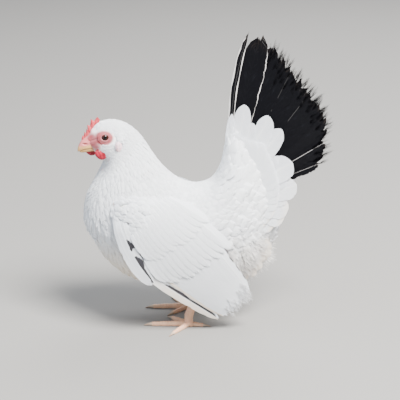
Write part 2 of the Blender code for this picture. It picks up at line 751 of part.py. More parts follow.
def make_tail(collection):
    """The tail: a core that meets the rump, its fan of feathers and two tiers of rounded coverts over it."""
    white, black = material("plumage", WHITE), material("tail_feather", BLACK)
    tail = body_piece("tail", RUMP_END, TAIL_CORE_END, white, collection)
    draw = random.Random(VANE_SEED)
    vanes = []
    for side in SIDE_NAMES:
        patch = tail_patch(FAN, FAN_START, 0, side)
        vanes += shingled("fan", patch, len(FAN), LONG_VANE, FAN_HALF_WIDTH, -1, black, collection, draw)
        for name, rays, lift in (
            ("long_covert", LONG_COVERTS, LONG_COVERT_LIFT),
            ("short_covert", SHORT_COVERTS, SHORT_COVERT_LIFT),
        ):
            patch = tail_patch(rays, COVERT_START, lift, side)
            vanes += shingled(
                name, patch, len(rays), SHORT_VANE, COVERT_HALF_WIDTH, -1, white, collection, draw
            )
    combine(tail, vanes, "UNION")
    rump = body_piece("grown_rump", TORSO_END - 1, RUMP_END, None, collection, GAP)
    combine(tail, [rump], "DIFFERENCE")


def make_rump(collection):
    """The rump, with the loose fluff of the rear as rows of short feathers."""
    rump = body_piece("rump", TORSO_END, RUMP_END, material("plumage", WHITE), collection)
    draw = random.Random(VANE_SEED)
    vanes = []
    for angle, length in FLUFF:
        turn = math.radians(angle)
        ray = Vector((math.sin(turn), 0, math.cos(turn)))
        upwards = Vector((-math.cos(turn), 0, math.sin(turn)))
        for share_across in FLUFF_ACROSS:
            out = (upwards * (1 - abs(share_across) / 2) + ACROSS * share_across).normalized()
            reach = length * draw.uniform(*FLUFF_DRAWN)
            rows = []
            for share, width in SHORT_VANE:
                far = FLUFF_START + (reach - FLUFF_START) * share
                y = share_across * (FLUFF_ROOT_Y + (FLUFF_TIP_Y - FLUFF_ROOT_Y) * share)
                centre = point(FLUFF_CENTRE[0], y, FLUFF_CENTRE[1]) + ray * far * MM
                across = ray.cross(out) * FLUFF_HALF_WIDTH * width
                rows.append([(centre + across * k, out * VANE_THICK / 2) for k in (-1, 0, 1)])
            vanes.append(plate("fluff", rows, material("plumage", WHITE), collection))
    combine(rump, vanes, "UNION")
    combine(rump, [torso_cutter(collection, TORSO_END)], "DIFFERENCE")
    combine(rump, [body_piece("tail_cutter", RUMP_END, TAIL_CORE_END, None, collection, GAP)], "DIFFERENCE")


def make_leg(side, collection):
    """Thigh, shank, foot and claws of one side."""
    name = SIDE_NAMES[side]
    skin = material("leg_skin", LEG_SKIN)
    foot_at = Vector((LEG_X, side * LEG_Y, FOOT_TOP))
    hock = point(HOCK[0], 0, HOCK[1]) + ACROSS * side * LEG_Y
    top = point(THIGH_TOP[0], 0, THIGH_TOP[1]) + ACROSS * side * LEG_Y
    low, high = foot_at.lerp(hock, SHANK_START), foot_at.lerp(hock, SHANK_END)
    rings = []
    for i in range(SHANK_SCUTES):
        for share, rise in ((0, SCUTE_RISE), (SCUTE_LENGTH, 0)):
            t = (i + share) / SHANK_SCUTES
            waist = SHANK_RADIUS * (SHANK_WAIST + SHANK_WIDENS * (t - SHANK_WAIST_AT) ** 2)
            ring = tube_ring(low.lerp(high, t), hock - foot_at, waist, SHANK_SIDES)
            centre = low.lerp(high, t)
            for place in ring:
                ahead = max(centre.x - place.x, 0) / waist
                place.x -= rise * ahead
            rings.append(ring)
    rings.append(tube_ring(high, hock - foot_at, SHANK_RADIUS * HOCK_WIDTH, SHANK_SIDES))
    loft("shank_" + name, rings, skin, collection)
    knee = high + (hock - foot_at).normalized() * GAP
    wide, narrow = THIGH_RADII
    rings = []
    for t in spread(0, 1, THIGH_STEPS):
        rings.append(tube_ring(knee.lerp(top, t), hock - foot_at, narrow + (wide - narrow) * t, THIGH_SIDES))
    thigh = loft("thigh_" + name, rings, material("plumage", WHITE), collection)
    combine(thigh, [torso_cutter(collection)], "DIFFERENCE")
    make_foot(side, low - (hock - foot_at).normalized() * GAP, hock - foot_at, collection)


def tube_ring(centre, along, radius, sides):
    """A circle of points round a direction."""
    turn = along.to_track_quat("Z", "Y")
    return [
        centre + turn @ Vector((math.cos(a) * radius, math.sin(a) * radius, 0))
        for a in (2 * math.pi * i / sides for i in range(sides))
    ]


def toe_ring(centre, along, radius, sides, rise=0.0):
    """A circle across a toe, flattened where it would go below the floor and raised at its top by a scute."""
    across = UP.cross(along).normalized()
    ring = []
    for i in range(sides):
        a = 2 * math.pi * i / sides
        place = centre + (across * math.cos(a) + UP * math.sin(a)) * radius
        place.z += rise * max(math.sin(a), 0)
        place.z = max(place.z, 0)
        ring.append(place)
    return ring


def make_foot(side, ankle, leg_along, collection):
    """Four toes joined under the ankle, flat on the floor, and a claw at the end of each."""
    name = SIDE_NAMES[side]
    skin = material("leg_skin", LEG_SKIN)
    ground = Vector((ankle.x, ankle.y, 0))
    rings = [tube_ring(ankle, leg_along, SHANK_RADIUS * PAD_TOP, PAD_SIDES)]
    for height, share in PAD:
        rings.append(tube_ring(ground + UP * height, UP, SHANK_RADIUS * share, PAD_SIDES))
    pad = loft("foot_" + name, rings, skin, collection)
    toes = []
    for toe, heading, length, radius, scutes in TOES:
        angle = math.radians(heading)
        along = Vector((-math.cos(angle), side * math.sin(angle), 0))
        length, radius = length * MM, radius * MM
        rings = []
        for i in range(scutes):
            for share, rise in ((0, 0), (SCUTE_LENGTH, SCUTE_RISE)):
                t = (i + share) / scutes
                here = radius * (1 - (1 - TOE_END_SHARE) * t)
                centre = ground + along * length * t + UP * here * TOE_HEIGHT
                rings.append(toe_ring(centre, along, here, TOE_SIDES, rise))
        here = radius * TOE_END_SHARE
        rings.append(toe_ring(ground + along * length + UP * here * TOE_HEIGHT, along, here, TOE_SIDES))
        toes.append(loft("toe", rings, skin, collection))
        end = ground + along * (length + GAP)
        rings = []
        for t in spread(0, 1, CLAW_STEPS):
            wide = here * (CLAW_ROOT[0] + (CLAW_TIP[0] - CLAW_ROOT[0]) * t)
            high = here * (CLAW_ROOT[1] + (CLAW_TIP[1] - CLAW_ROOT[1]) * t**CLAW_CURVE)
            rings.append(toe_ring(end + along * CLAW_LENGTH * t + UP * high, along, wide, CLAW_SIDES))
        loft(f"claw_{name}_{toe}", rings, material("claw", CLAW), collection)
    combine(pad, toes, "UNION")


def main():
    """Clears the scene and makes the bird."""
    for old in list(bpy.data.objects):
        bpy.data.objects.remove(old)
    bird = bpy.data.collections.new("japanese_bantam_hen")
    bpy.context.scene.collection.children.link(bird)
    plumage = material("plumage", WHITE)
    make_head(bird)
    make_beak(bird)
    make_comb(bird)
    make_wattles_and_lobes(bird)
    body_piece("neck", HEAD_END, NECK_END, plumage, bird)
    body_piece("torso", NECK_END, TORSO_END, plumage, bird)
    make_rump(bird)
    make_tail(bird)
    skin = body_surface(NECK_END - 2, RUMP_END + 1)
    base = smooth_wing(body_surface(NECK_END - 2, RUMP_END + 1, WING_PROUD, WING_DEEPEN))
    across_the_middle(make_wing(LEFT, base, skin, bird), "wing_right", bird)
    for side in SIDE_NAMES:
        make_leg(side, bird)


if __name__ == "__main__":
    main()
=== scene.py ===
"""Looks of a white, black-tailed Japanese bantam hen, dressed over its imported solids.

Lengths in the tables are millimetres, and are turned into metres where they are read. The bird looks along -X,
its left side faces -Y and up is +Z.
"""

import json
import logging
import math
from dataclasses import dataclass, field
from enum import Enum
from typing import Callable

import bpy
import numpy as np
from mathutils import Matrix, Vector
from mathutils.bvhtree import BVHTree

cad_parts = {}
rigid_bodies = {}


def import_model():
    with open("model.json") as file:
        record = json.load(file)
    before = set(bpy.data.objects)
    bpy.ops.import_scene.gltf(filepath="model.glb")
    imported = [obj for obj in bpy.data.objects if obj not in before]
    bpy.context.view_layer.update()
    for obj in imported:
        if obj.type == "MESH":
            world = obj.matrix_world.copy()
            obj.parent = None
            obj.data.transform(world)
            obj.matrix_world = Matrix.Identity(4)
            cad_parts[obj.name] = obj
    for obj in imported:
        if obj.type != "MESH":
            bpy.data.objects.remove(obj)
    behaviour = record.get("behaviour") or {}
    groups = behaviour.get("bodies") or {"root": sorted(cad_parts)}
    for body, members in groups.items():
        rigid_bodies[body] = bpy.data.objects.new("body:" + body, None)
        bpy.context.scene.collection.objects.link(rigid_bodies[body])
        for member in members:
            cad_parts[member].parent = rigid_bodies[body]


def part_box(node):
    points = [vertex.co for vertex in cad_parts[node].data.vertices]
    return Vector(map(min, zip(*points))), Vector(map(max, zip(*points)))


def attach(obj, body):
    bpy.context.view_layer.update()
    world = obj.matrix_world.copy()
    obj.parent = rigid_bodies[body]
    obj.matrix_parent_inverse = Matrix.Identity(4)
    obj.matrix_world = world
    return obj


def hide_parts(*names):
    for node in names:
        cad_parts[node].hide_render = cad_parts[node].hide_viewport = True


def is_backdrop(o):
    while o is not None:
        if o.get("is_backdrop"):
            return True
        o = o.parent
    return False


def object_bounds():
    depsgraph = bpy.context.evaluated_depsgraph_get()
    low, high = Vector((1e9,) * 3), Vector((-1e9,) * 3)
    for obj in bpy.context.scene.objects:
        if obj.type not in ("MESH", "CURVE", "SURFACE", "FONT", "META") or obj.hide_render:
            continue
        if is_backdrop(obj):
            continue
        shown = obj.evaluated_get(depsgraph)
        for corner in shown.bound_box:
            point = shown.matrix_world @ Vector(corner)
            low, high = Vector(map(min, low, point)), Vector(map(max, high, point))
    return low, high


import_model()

CAD_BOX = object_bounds()
BODY = "root"
MM = 0.001
SEED = 11
SHARP = math.radians(60)
FULL_TURN = 2 * math.pi
LEFT, RIGHT = -1.0, 1.0
SIDE_NAMES = {LEFT: "left", RIGHT: "right"}
ACROSS = np.array((0.0, 1.0, 0.0))
UP = np.array((0.0, 0.0, 1.0))

Array = np.ndarray
Colour = tuple[float, float, float]
log = logging.getLogger("bantam_hen")


# Curves and vectors


def smooth_curve(rows: object, at: object) -> Array:
    """Rows read at fractional indices, on a smooth curve that runs on straight past its ends.

    Args:
        rows: The curve's rows, each a number or a tuple.
        at: Fractional indices, of any shape.

    Returns:
        The rows there, with the shape of at, and one more axis where a row is a tuple.
    """
    table = np.asarray(rows, float)
    single = table.ndim == 1
    if single:
        table = table[:, None]
    at = np.asarray(at, float)
    last = len(table) - 1
    inside = np.clip(at, 0, last)
    index = np.minimum(inside.astype(int), last - 1)
    t = (inside - index)[..., None]
    before, start = table[np.maximum(index - 1, 0)], table[index]
    end, after = table[index + 1], table[np.minimum(index + 2, last)]
    value = 0.5 * (
        2 * start
        + (end - before) * t
        + (2 * before - 5 * start + 4 * end - after) * t**2
        + (3 * start - before - 3 * end + after) * t**3
    )
    beyond = (at - inside)[..., None]
    value = value + beyond * np.where(beyond < 0, table[1] - table[0], table[-1] - table[-2])
    return value[..., 0] if single else value


def outline_width(outline: object, at: Array) -> Array:
    """The share of full width along a feather.

    Args:
        outline: Rows of share of length and share of width.
        at: Shares of length.

    Returns:
        The shares of width there.
    """
    table = np.asarray(outline, float)
    index = np.interp(at, table[:, 0], np.arange(len(table)))
    return np.maximum(smooth_curve(table[:, 1], index), 0.02)


def unit(vectors: Array) -> Array:
    """The vectors at length one."""
    return vectors / np.maximum(np.linalg.norm(vectors, axis=-1, keepdims=True), 1e-12)


def ramp(low: float, high: float, value: Array) -> Array:
    """A soft step from 0 at low to 1 at high, which may also be the smaller of the two."""
    t = np.clip((value - low) / (high - low), 0, 1)
    return t * t * (3 - 2 * t)


def dot(a: Array, b: Array) -> Array:
    """The dot product over the last axis."""
    return (a * b).sum(axis=-1)


def stacked(x: object, y: object, z: object) -> Array:
    """Points from their three coordinates."""
    return np.stack(np.broadcast_arrays(*(np.asarray(v, float) for v in (x, y, z))), axis=-1)


def bend(points: object, share: Array) -> Array:
    """Points on the parabola through three points, which also runs on past its ends.

    Args:
        points: The first, middle and last point.
        share: Shares of the way.

    Returns:
        The points there.
    """
    first, middle, last = np.asarray(points, float)
    share = np.asarray(share, float)[..., None]
    return (
        first * (1 - share) * (1 - 2 * share) + middle * 4 * share * (1 - share) + last * share * (2 * share - 1)
    )


def ripple(points: Array, size: float, seed: int) -> Array:
    """Smooth pseudo-random values between about -1 and 1.

    Args:
        points: Places in metres.
        size: How far apart the values differ.
        seed: Seed of the random waves.

    Returns:
        The values, the sum of a few waves.
    """
    draw = np.random.default_rng(seed)
    total = np.zeros(points.shape[:-1])
    for _ in range(5):
        direction = draw.normal(size=3)
        direction *= draw.uniform(0.6, 1.4) / (size * np.linalg.norm(direction))
        total += np.sin(points @ direction * FULL_TURN + draw.uniform(0, 6.28))
    return total / 3


def bell(value: Array, width: float = 1.0) -> Array:
    """A soft bump: 1 at 0, and falling off over the width given."""
    return np.exp(-((value / width) ** 2))


def turns(count: int) -> Array:
    """Evenly spaced angles once round."""
    return np.arange(count) / count * FULL_TURN


def grid(down: Array, across: Array) -> tuple[Array, Array]:
    """Two rows of numbers spread over a grid, the first down it and the second across."""
    return tuple(np.meshgrid(down, across, indexing="ij"))


def circle(angle: Array, first: Array, second: Array) -> Array:
    """Ways at an angle round a circle, from the first way towards the second."""
    return first * np.cos(angle)[..., None] + second * np.sin(angle)[..., None]


# Meshes


def linked(name: str, data: bpy.types.ID) -> bpy.types.Object:
    """An object with the data, in the scene.

    Args:
        name: Its name.
        data: A mesh, light or camera.

    Returns:
        The object.
    """
    made = bpy.data.objects.new(name, data)
    bpy.context.scene.collection.objects.link(made)
    return made


def keep_map(mesh: bpy.types.Mesh, name: str, places: Array) -> None:
    """Keeps a map on a mesh.

    Args:
        mesh: The mesh.
        name: The map's name.
        places: The place of each point in the map, n by 2.
    """
    corners = np.empty(len(mesh.loops), np.int32)
    mesh.loops.foreach_get("vertex_index", corners)
    mesh.uv_layers.new(name=name).data.foreach_set("uv", places[corners].astype(np.float32).ravel())


def keep_values(mesh: bpy.types.Mesh, name: str, values: Array) -> None:
    """Keeps a number or a vector on each point of a mesh.

    Args:
        mesh: The mesh.
        name: The attribute's name.
        values: n numbers, or n by 3.
    """
    kind, slot = ("FLOAT_VECTOR", "vector") if values.ndim > 1 else ("FLOAT", "value")
    attribute = mesh.attributes.new(name, kind, "POINT")
    attribute.data.foreach_set(slot, values.astype(np.float32).ravel())


@dataclass
class Draft:
    """Points, faces, maps and values gathered for one mesh."""

    points: list[Array] = field(default_factory=list)
    faces: list[Array] = field(default_factory=list)
    vane: list[Array] = field(default_factory=list)
    bake: list[Array] = field(default_factory=list)
    values: dict[str, list[Array]] = field(default_factory=dict)
    count: int = 0

    def add(self, points: Array, faces: Array, vane: Array, bake: Array | None = None, **values: object) -> None:
        """Adds one closed shape.

        Args:
            points: Its points, n by 3.
            faces: Its faces as quads, m by 4, a triangle with its last corner repeated.
            vane: Its own map, n by 2.
            bake: Its place in the bake map, n by 2, or none.
            values: Numbers that are kept on its points, one number or n numbers each.
        """
        self.points.append(points)
        self.faces.append(faces + self.count)
        self.vane.append(vane)
        self.bake.append(vane if bake is None else bake)
        for key, value in values.items():
            self.values.setdefault(key, []).append(np.broadcast_to(np.asarray(value, float), (len(points),)))
        self.count += len(points)

    def build(self, name: str, material: bpy.types.Material, bake: bool = False) -> bpy.types.Object:
        """Makes the object, smooth and facing outwards as its faces were given.

        Args:
            name: The piece's name.
            material: Its finish.
            bake: Whether the bake map is kept on it.

        Returns:
            The object, linked to the scene.
        """
        points, quads = np.concatenate(self.points), np.concatenate(self.faces)
        faces = [q[:3] if q[3] == q[2] else q for q in quads.tolist()]
        mesh = bpy.data.meshes.new(name)
        mesh.from_pydata(points.tolist(), [], faces)
        keep_map(mesh, "Vane", np.concatenate(self.vane))
        if bake:
            keep_map(mesh, "OFBake", np.concatenate(self.bake))
        for key, rows in self.values.items():
            keep_values(mesh, key, np.concatenate(rows))
        mesh.shade_smooth()
        mesh.set_sharp_from_angle(angle=SHARP)
        mesh.materials.append(material)
        mesh.validate()
        return linked(name, mesh)


def grid_faces(rows: int, columns: int, wrapped: bool = False, flipped: bool = False) -> Array:
    """Quads over a grid of points.

    Args:
        rows: How many rows the grid has.
        columns: How many points a row has.
        wrapped: Whether each row closes on itself.
        flipped: Whether the faces look the other way.

    Returns:
        The quads' corners, m by 4.
    """
    index = np.arange(rows * columns).reshape(rows, columns)
    if wrapped:
        index = np.concatenate([index, index[:, :1]], axis=1)
    quads = np.stack([index[:-1, :-1], index[:-1, 1:], index[1:, 1:], index[1:, :-1]], axis=-1).reshape(-1, 4)
    return quads[:, ::-1] if flipped else quads


def tube(rings: Array) -> tuple[Array, Array, Array]:
    """A closed body through rings of points, each end closed on its own middle.

    Args:
        rings: The rings, r by c by 3.

    Returns:
        Points, faces and the map of round and along.
    """
    rows, columns = rings.shape[:2]
    ends = np.stack([rings[0].mean(axis=0), rings[-1].mean(axis=0)])
    points = np.concatenate([rings.reshape(-1, 3), ends])
    faces = [grid_faces(rows, columns, wrapped=True)]
    for end, ring in ((0, 0), (1, rows - 1)):
        middle = rows * columns + end
        here = ring * columns + np.arange(columns)
        after = ring * columns + (np.arange(columns) + 1) % columns
        first, second = (after, here) if end == 0 else (here, after)
        tip = np.full(columns, middle)
        faces.append(np.stack([first, second, tip, tip], axis=-1))
    round_, along = np.meshgrid(np.arange(columns) / columns, np.linspace(0, 1, rows))
    vane = np.concatenate([np.stack([round_, along], axis=-1).reshape(-1, 2), [[0.5, 0], [0.5, 1]]])
    return points, faces_outward(points, np.concatenate(faces)), vane


def faces_outward(points: Array, faces: Array) -> Array:
    """The faces of a closed shape, turned round if they look inwards.

    Args:
        points: Its points.
        faces: Its quads.

    Returns:
        The quads, all facing out.
    """
    a, b, c, d = (points[faces[:, i]] for i in range(4))
    volume = (dot(a, np.cross(b, c)) + dot(a, np.cross(c, d))).sum()
    if volume >= 0:
        return faces
    turned = faces[:, [1, 0, 2, 2]].copy()
    quads = faces[:, 3] != faces[:, 2]
    turned[quads] = faces[quads][:, ::-1]
    return turned


def slab(outer: Array, inner: Array, vane: Array) -> tuple[Array, Array, Array]:
    """A thin closed shape between two grids of points with a rim round them.

    Args:
        outer: The upper face's grid, r by c by 3.
        inner: The lower face's grid.
        vane: The map over the grid, r by c by 2.

    Returns:
        Points, faces and the map.
    """
    rows, columns = outer.shape[:2]
    count = rows * columns
    points = np.concatenate([outer.reshape(-1, 3), inner.reshape(-1, 3)])
    index = np.arange(count).reshape(rows, columns)
    rim = np.concatenate([index[0], index[1:, -1], index[-1, -2::-1], index[-2:0:-1, 0]])
    after = np.roll(rim, -1)
    sides = np.stack([rim, rim + count, after + count, after], axis=-1)
    faces = np.concatenate([grid_faces(rows, columns), grid_faces(rows, columns, flipped=True) + count, sides])
    flat = vane.reshape(-1, 2)
    return points, faces_outward(points, faces), np.concatenate([flat, flat])


def with_ends(values: Array, first: float, last: float) -> Array:
    """The values of a tube's rings, with those of its two end points."""
    return np.concatenate([values.ravel(), [first, last]])


def tube_piece(name: str, rings: Array, finish: "Finish", **values: object) -> bpy.types.Object:
    """A piece that is one closed body through rings of points.

    Args:
        name: The piece's name.
        rings: The rings, r by c by 3.
        finish: Its finish.
        values: Numbers that are kept on its points.

    Returns:
        The object.
    """
    draft = Draft()
    draft.add(*tube(rings), **values)
    return draft.build(name, finish.material())


def reach_across(form: BVHTree, x: float, z: float) -> float:
    """How far a form reaches to the right at x and z in millimetres, or 0 beside it."""
    hit = form.ray_cast(Vector((x * MM, 1, z * MM)), Vector((0, -1, 0)))[0]
    return hit.y if hit else 0.0


# Finishes


class Wiring:
    """Short calls to add and join the nodes of one node tree."""

    def __init__(self, tree: bpy.types.NodeTree) -> None:
        """Keeps the tree that is wired."""
        self.tree = tree

    def node(self, kind: str, inputs: dict | None = None, **settings: object) -> bpy.types.Node:
        """Adds a node.

        Args:
            kind: The node's type.
            inputs: Values or sockets for its inputs, by name or number.
            settings: Its own settings.

        Returns:
            The node.
        """
        made = self.tree.nodes.new(kind)
        for key, value in settings.items():
            setattr(made, key, value)
        self.feed_all(made, inputs or {})
        return made

    def feed(self, node: bpy.types.Node, key: str | int, value: object) -> None:
        """Gives an input a value, or joins it to a socket.

        Args:
            node: The node.
            key: The input's name or number.
            value: The value or socket; a colour may have three numbers.
        """
        if isinstance(key, int):
            socket = node.inputs[key]
        else:
            socket = next(s for s in node.inputs if s.name == key and s.enabled)
        if isinstance(value, bpy.types.NodeSocket):
            self.tree.links.new(value, socket)
        else:
            socket.default_value = (*value, 1.0)[:4] if socket.type == "RGBA" else value

    def feed_all(self, node: bpy.types.Node, inputs: dict) -> None:
        """Gives inputs their values or sockets, by name or number."""
        for key, value in inputs.items():
            self.feed(node, key, value)

    def out(self, node: bpy.types.Node, key: str | None = None) -> bpy.types.NodeSocket:
        """The first output in use, or the one of that name."""
        return next(s for s in node.outputs if s.enabled and (key is None or s.name == key))

    def math(self, operation: str, *values: object) -> bpy.types.NodeSocket:
        """The result of a Math node."""
        return self.out(self.node("ShaderNodeMath", dict(enumerate(values)), operation=operation))

    def times(self, first: object, second: object) -> bpy.types.NodeSocket:
        """One number times another."""
        return self.math("MULTIPLY", first, second)

    def line(self, value: object, slope: object, base: object) -> bpy.types.NodeSocket:
        """A number times a slope, plus a base."""
        return self.math("MULTIPLY_ADD", value, slope, base)

    def vector(self, operation: str, *values: object, key: str | None = None) -> bpy.types.NodeSocket:
        """The result of a Vector Math node."""
        return self.out(self.node("ShaderNodeVectorMath", dict(enumerate(values)), operation=operation), key)

    def scaled(self, vector: object, scale: object) -> bpy.types.NodeSocket:
        """A vector times a number."""
        made = self.node("ShaderNodeVectorMath", {"Vector": vector, "Scale": scale}, operation="SCALE")
        return self.out(made)

    def step(self, value: object, low: float, high: float) -> bpy.types.NodeSocket:
        """A soft step from 0 at low to 1 at high."""
        inputs = {"Value": value, "From Min": low, "From Max": high}
        return self.out(self.node("ShaderNodeMapRange", inputs, interpolation_type="SMOOTHSTEP"))

    def mix(self, share: object, first: object, second: object) -> bpy.types.NodeSocket:
        """A colour between two."""
        return self.node("ShaderNodeMix", {0: share, 6: first, 7: second}, data_type="RGBA").outputs[2]

    def noise(self, vector: object, scale: float, detail: float = 2.0) -> bpy.types.NodeSocket:
        """Noise between 0 and 1."""
        return self.out(self.node("ShaderNodeTexNoise", {"Vector": vector, "Scale": scale, "Detail": detail}))

    def place(self) -> bpy.types.NodeSocket:
        """The place on the piece, in its Object coordinates."""
        return self.out(self.node("ShaderNodeTexCoord"), "Object")

    def attribute(self, name: str) -> bpy.types.NodeSocket:
        """A number kept on the piece's points, in a shader."""
        return self.out(self.node("ShaderNodeAttribute", attribute_name=name), "Fac")


NUMBER = "NodeSocketFloat"


def node_group(name: str, kind: str, inputs: dict[str, tuple], outputs: dict[str, str]) -> tuple:
    """A node group with its named sockets.

    Args:
        name: The group's name.
        kind: The type of node tree.
        inputs: Each input's socket type and value, or none.
        outputs: Each output's socket type.

    Returns:
        The group, its wiring, its Group Input node and its Group Output node.
    """
    tree = bpy.data.node_groups.new(name, kind)
    for key, (socket_type, value) in inputs.items():
        socket = tree.interface.new_socket(name=key, in_out="INPUT", socket_type=socket_type)
        if value is not None:
            socket.default_value = value
    for key, socket_type in outputs.items():
        tree.interface.new_socket(name=key, in_out="OUTPUT", socket_type=socket_type)
    wiring = Wiring(tree)
    return tree, wiring, wiring.node("NodeGroupInput"), wiring.node("NodeGroupOutput")


def barbs_group() -> bpy.types.NodeTree:
    """The fine barbs of a feather's vane, drawn from its own map: across in u, root to tip in v.

    Returns:
        The group, made once.
    """
    found = bpy.data.node_groups.get("Barbs")
    if found:
        return found
    inputs = {"Barbs": (NUMBER, 60.0), "Slant": (NUMBER, 0.35), "Shaft Width": (NUMBER, 0.05)}
    outputs = dict.fromkeys(("Height", "Shaft", "Edge", "Streak"), NUMBER)
    tree, w, given, result = node_group("Barbs", "ShaderNodeTree", inputs, outputs)
    wobble_scale, wobble_barbs, shaft_height, streaks_per_barb = 160.0, 1.6, 3.0, 0.45
    spot = w.node("ShaderNodeSeparateXYZ", {0: w.out(w.node("ShaderNodeUVMap", uv_map="Vane"))})
    side = w.math("ABSOLUTE", w.line(spot.outputs["X"], 2.0, -1.0))
    along = w.math("SUBTRACT", spot.outputs["Y"], w.times(side, given.outputs["Slant"]))
    wobble = w.times(w.noise(w.place(), wobble_scale), wobble_barbs)
    phase = w.line(along, given.outputs["Barbs"], wobble)
    wave = w.math("SINE", w.times(phase, FULL_TURN))
    from_shaft = w.math("SMOOTH_MIN", w.math("DIVIDE", side, given.outputs["Shaft Width"]), 1.0, 0.4)
    shaft = w.math("MAXIMUM", w.math("SUBTRACT", 1.0, from_shaft), 0.0)
    lane = w.node("ShaderNodeCombineXYZ", {"X": w.times(side, 2.0), "Y": w.times(phase, streaks_per_barb)})
    height = w.line(wave, 0.5, w.times(shaft, shaft_height))
    streak = w.noise(w.out(lane), 1.0, 3.0)
    w.feed_all(result, {"Height": height, "Shaft": shaft, "Edge": side, "Streak": streak})
    return tree


def pebble_group() -> bpy.types.NodeTree:
    """Fine bumps of bare skin, on the piece's Object coordinates.

    Returns:
        The group, made once.
    """
    found = bpy.data.node_groups.get("Pebbles")
    if found:
        return found
    outputs = dict.fromkeys(("Height", "Cracks", "Blotch"), NUMBER)
    tree, w, given, result = node_group("Pebbles", "ShaderNodeTree", {"Size": (NUMBER, 0.8)}, outputs)
    fine_scale, blotch_scale = 2600.0, 180.0
    place = w.place()
    scale = w.math("DIVIDE", 1000.0, given.outputs["Size"])
    cells = w.node("ShaderNodeTexVoronoi", {"Vector": place, "Scale": scale}, feature="SMOOTH_F1")
    near = w.out(cells, "Distance")
    fine = w.times(w.noise(place, fine_scale, 3.0), 0.4)
    height = w.math("ADD", w.math("SUBTRACT", 1.0, near), fine)
    blotch = w.noise(place, blotch_scale, 3.0)
    w.feed_all(result, {"Height": height, "Cracks": w.step(near, 0.45, 0.75), "Blotch": blotch})
    return tree


def shaded(colour: Colour, share: float) -> Colour:
    """A colour with each of its parts times a share."""
    return tuple(share * part for part in colour)


@dataclass(frozen=True)
class Finish:
    """A finish: a Principled shader with the values that are the same all over."""

    name: str
    colour: Colour
    roughness: float = 0.6
    specular: float = 0.4
    sheen: float = 0.0
    sheen_roughness: float = 0.6
    subsurface: float = 0.0
    subsurface_colour: Colour = (1.0, 0.3, 0.2)
    subsurface_scale: float = 0.0015
    coat: float = 0.0
    coat_roughness: float = 0.05
    bump: float = 0.3
    bump_distance: float = 0.0002

    def material(self) -> bpy.types.Material:
        """The material.

        Returns:
            The material, made once.
        """
        found = bpy.data.materials.get(self.name)
        if found:
            return found
        made = bpy.data.materials.new(self.name)
        made.use_nodes = True
        wiring, shader = Wiring(made.node_tree), made.node_tree.nodes["Principled BSDF"]
        everywhere = {
            "Base Color": self.colour,
            "Roughness": self.roughness,
            "Specular IOR Level": self.specular,
            "Sheen Weight": self.sheen,
            "Sheen Roughness": self.sheen_roughness,
            "Subsurface Weight": self.subsurface,
            "Subsurface Radius": self.subsurface_colour,
            "Subsurface Scale": self.subsurface_scale,
            "Coat Weight": self.coat,
            "Coat Roughness": self.coat_roughness,
        }
        wiring.feed_all(shader, everywhere)
        self.wire(wiring, shader)
        return made

    def wire(self, w: Wiring, shader: bpy.types.Node) -> None:
        """Feeds what changes over the surface."""
        raise NotImplementedError

    def join(
        self, w: Wiring, shader: bpy.types.Node, colour: object, height: object,
        grain: object = 0.0, spread: float = 0.0, below: float = 0.0,
    ) -> None:
        """Joins what changes over the surface to the shader.

        Args:
            w: The material's wiring.
            shader: Its Principled node.
            colour: The colour.
            height: The height that the bump is drawn from.
            grain: A number that the roughness follows.
            spread: How much the grain adds to the roughness.
            below: How far below the finish's roughness it starts.
        """
        w.feed(shader, "Base Color", colour)
        if spread:
            w.feed(shader, "Roughness", w.line(grain, spread, self.roughness - below))
        inputs = {"Strength": self.bump, "Distance": self.bump_distance, "Height": height}
        w.feed(shader, "Normal", w.out(w.node("ShaderNodeBump", inputs)))


@dataclass(frozen=True)
class Feathered(Finish):
    """A finish of feathers, whose barbs and shaft follow each feather's own map."""

    barbs: float = 40.0
    slant: float = 0.3
    shaft_width: float = 0.07

    def vane(self, w: Wiring) -> bpy.types.Node:
        """The barbs with this finish's numbers."""
        inputs = {"Barbs": self.barbs, "Slant": self.slant, "Shaft Width": self.shaft_width}
        return w.node("ShaderNodeGroup", inputs, node_tree=barbs_group())


@dataclass(frozen=True)
class Plumage(Feathered):
    """White feathers: warmer where the tint says so, which on the lower body is a painted warm light bounced from the
    floor; dark on the inner webs that are marked and in painted shadows; lavender grey in a painted bluish shade
    where the grey value says so.
    """

    # Cream that the tint mixes in: on the lower body a painted warm light bounced from the floor, elsewhere the
    # feathers' own cream.
    cream: Colour = (0.83, 0.66, 0.46)
    dark: Colour = (0.02, 0.018, 0.022)
    # Painted bluish shade: the lavender grey that the streaks and the grey value mix in.
    shade: Colour = (0.5, 0.51, 0.6)
    quill: Colour = (0.9, 0.84, 0.74)

    def wire(self, w: Wiring, shader: bpy.types.Node) -> None:
        """Wires colour from the draw, the tint and the webs, bump and roughness from the barbs.

        Args:
            w: The material's wiring.
            shader: Its Principled node.
        """
        vane = self.vane(w)
        streak = w.out(vane, "Streak")
        own = w.mix(w.times(w.attribute("draw"), 0.08), self.colour, shaded(self.colour, 0.72))
        # Painted bluish shade: streaks turn the white a little towards the shade colour everywhere, more where the
        # grey value is set.
        greyed = w.mix(w.times(streak, w.line(w.attribute("grey"), 0.9, 0.1)), own, self.shade)
        # The tint's cream, which where it grows towards the bottom of the body is a painted warm light bounced from
        # the floor.
        warm = w.mix(w.attribute("tint"), greyed, self.cream)
        quilled = w.mix(w.times(w.out(vane, "Shaft"), 0.25), warm, self.quill)
        ragged = w.math("ADD", w.line(streak, 0.5, -0.25), w.attribute("dark"))
        colour = w.mix(w.step(ragged, 0.25, 0.85), quilled, self.dark)
        self.join(w, shader, colour, w.out(vane, "Height"), streak, 0.2, 0.1)


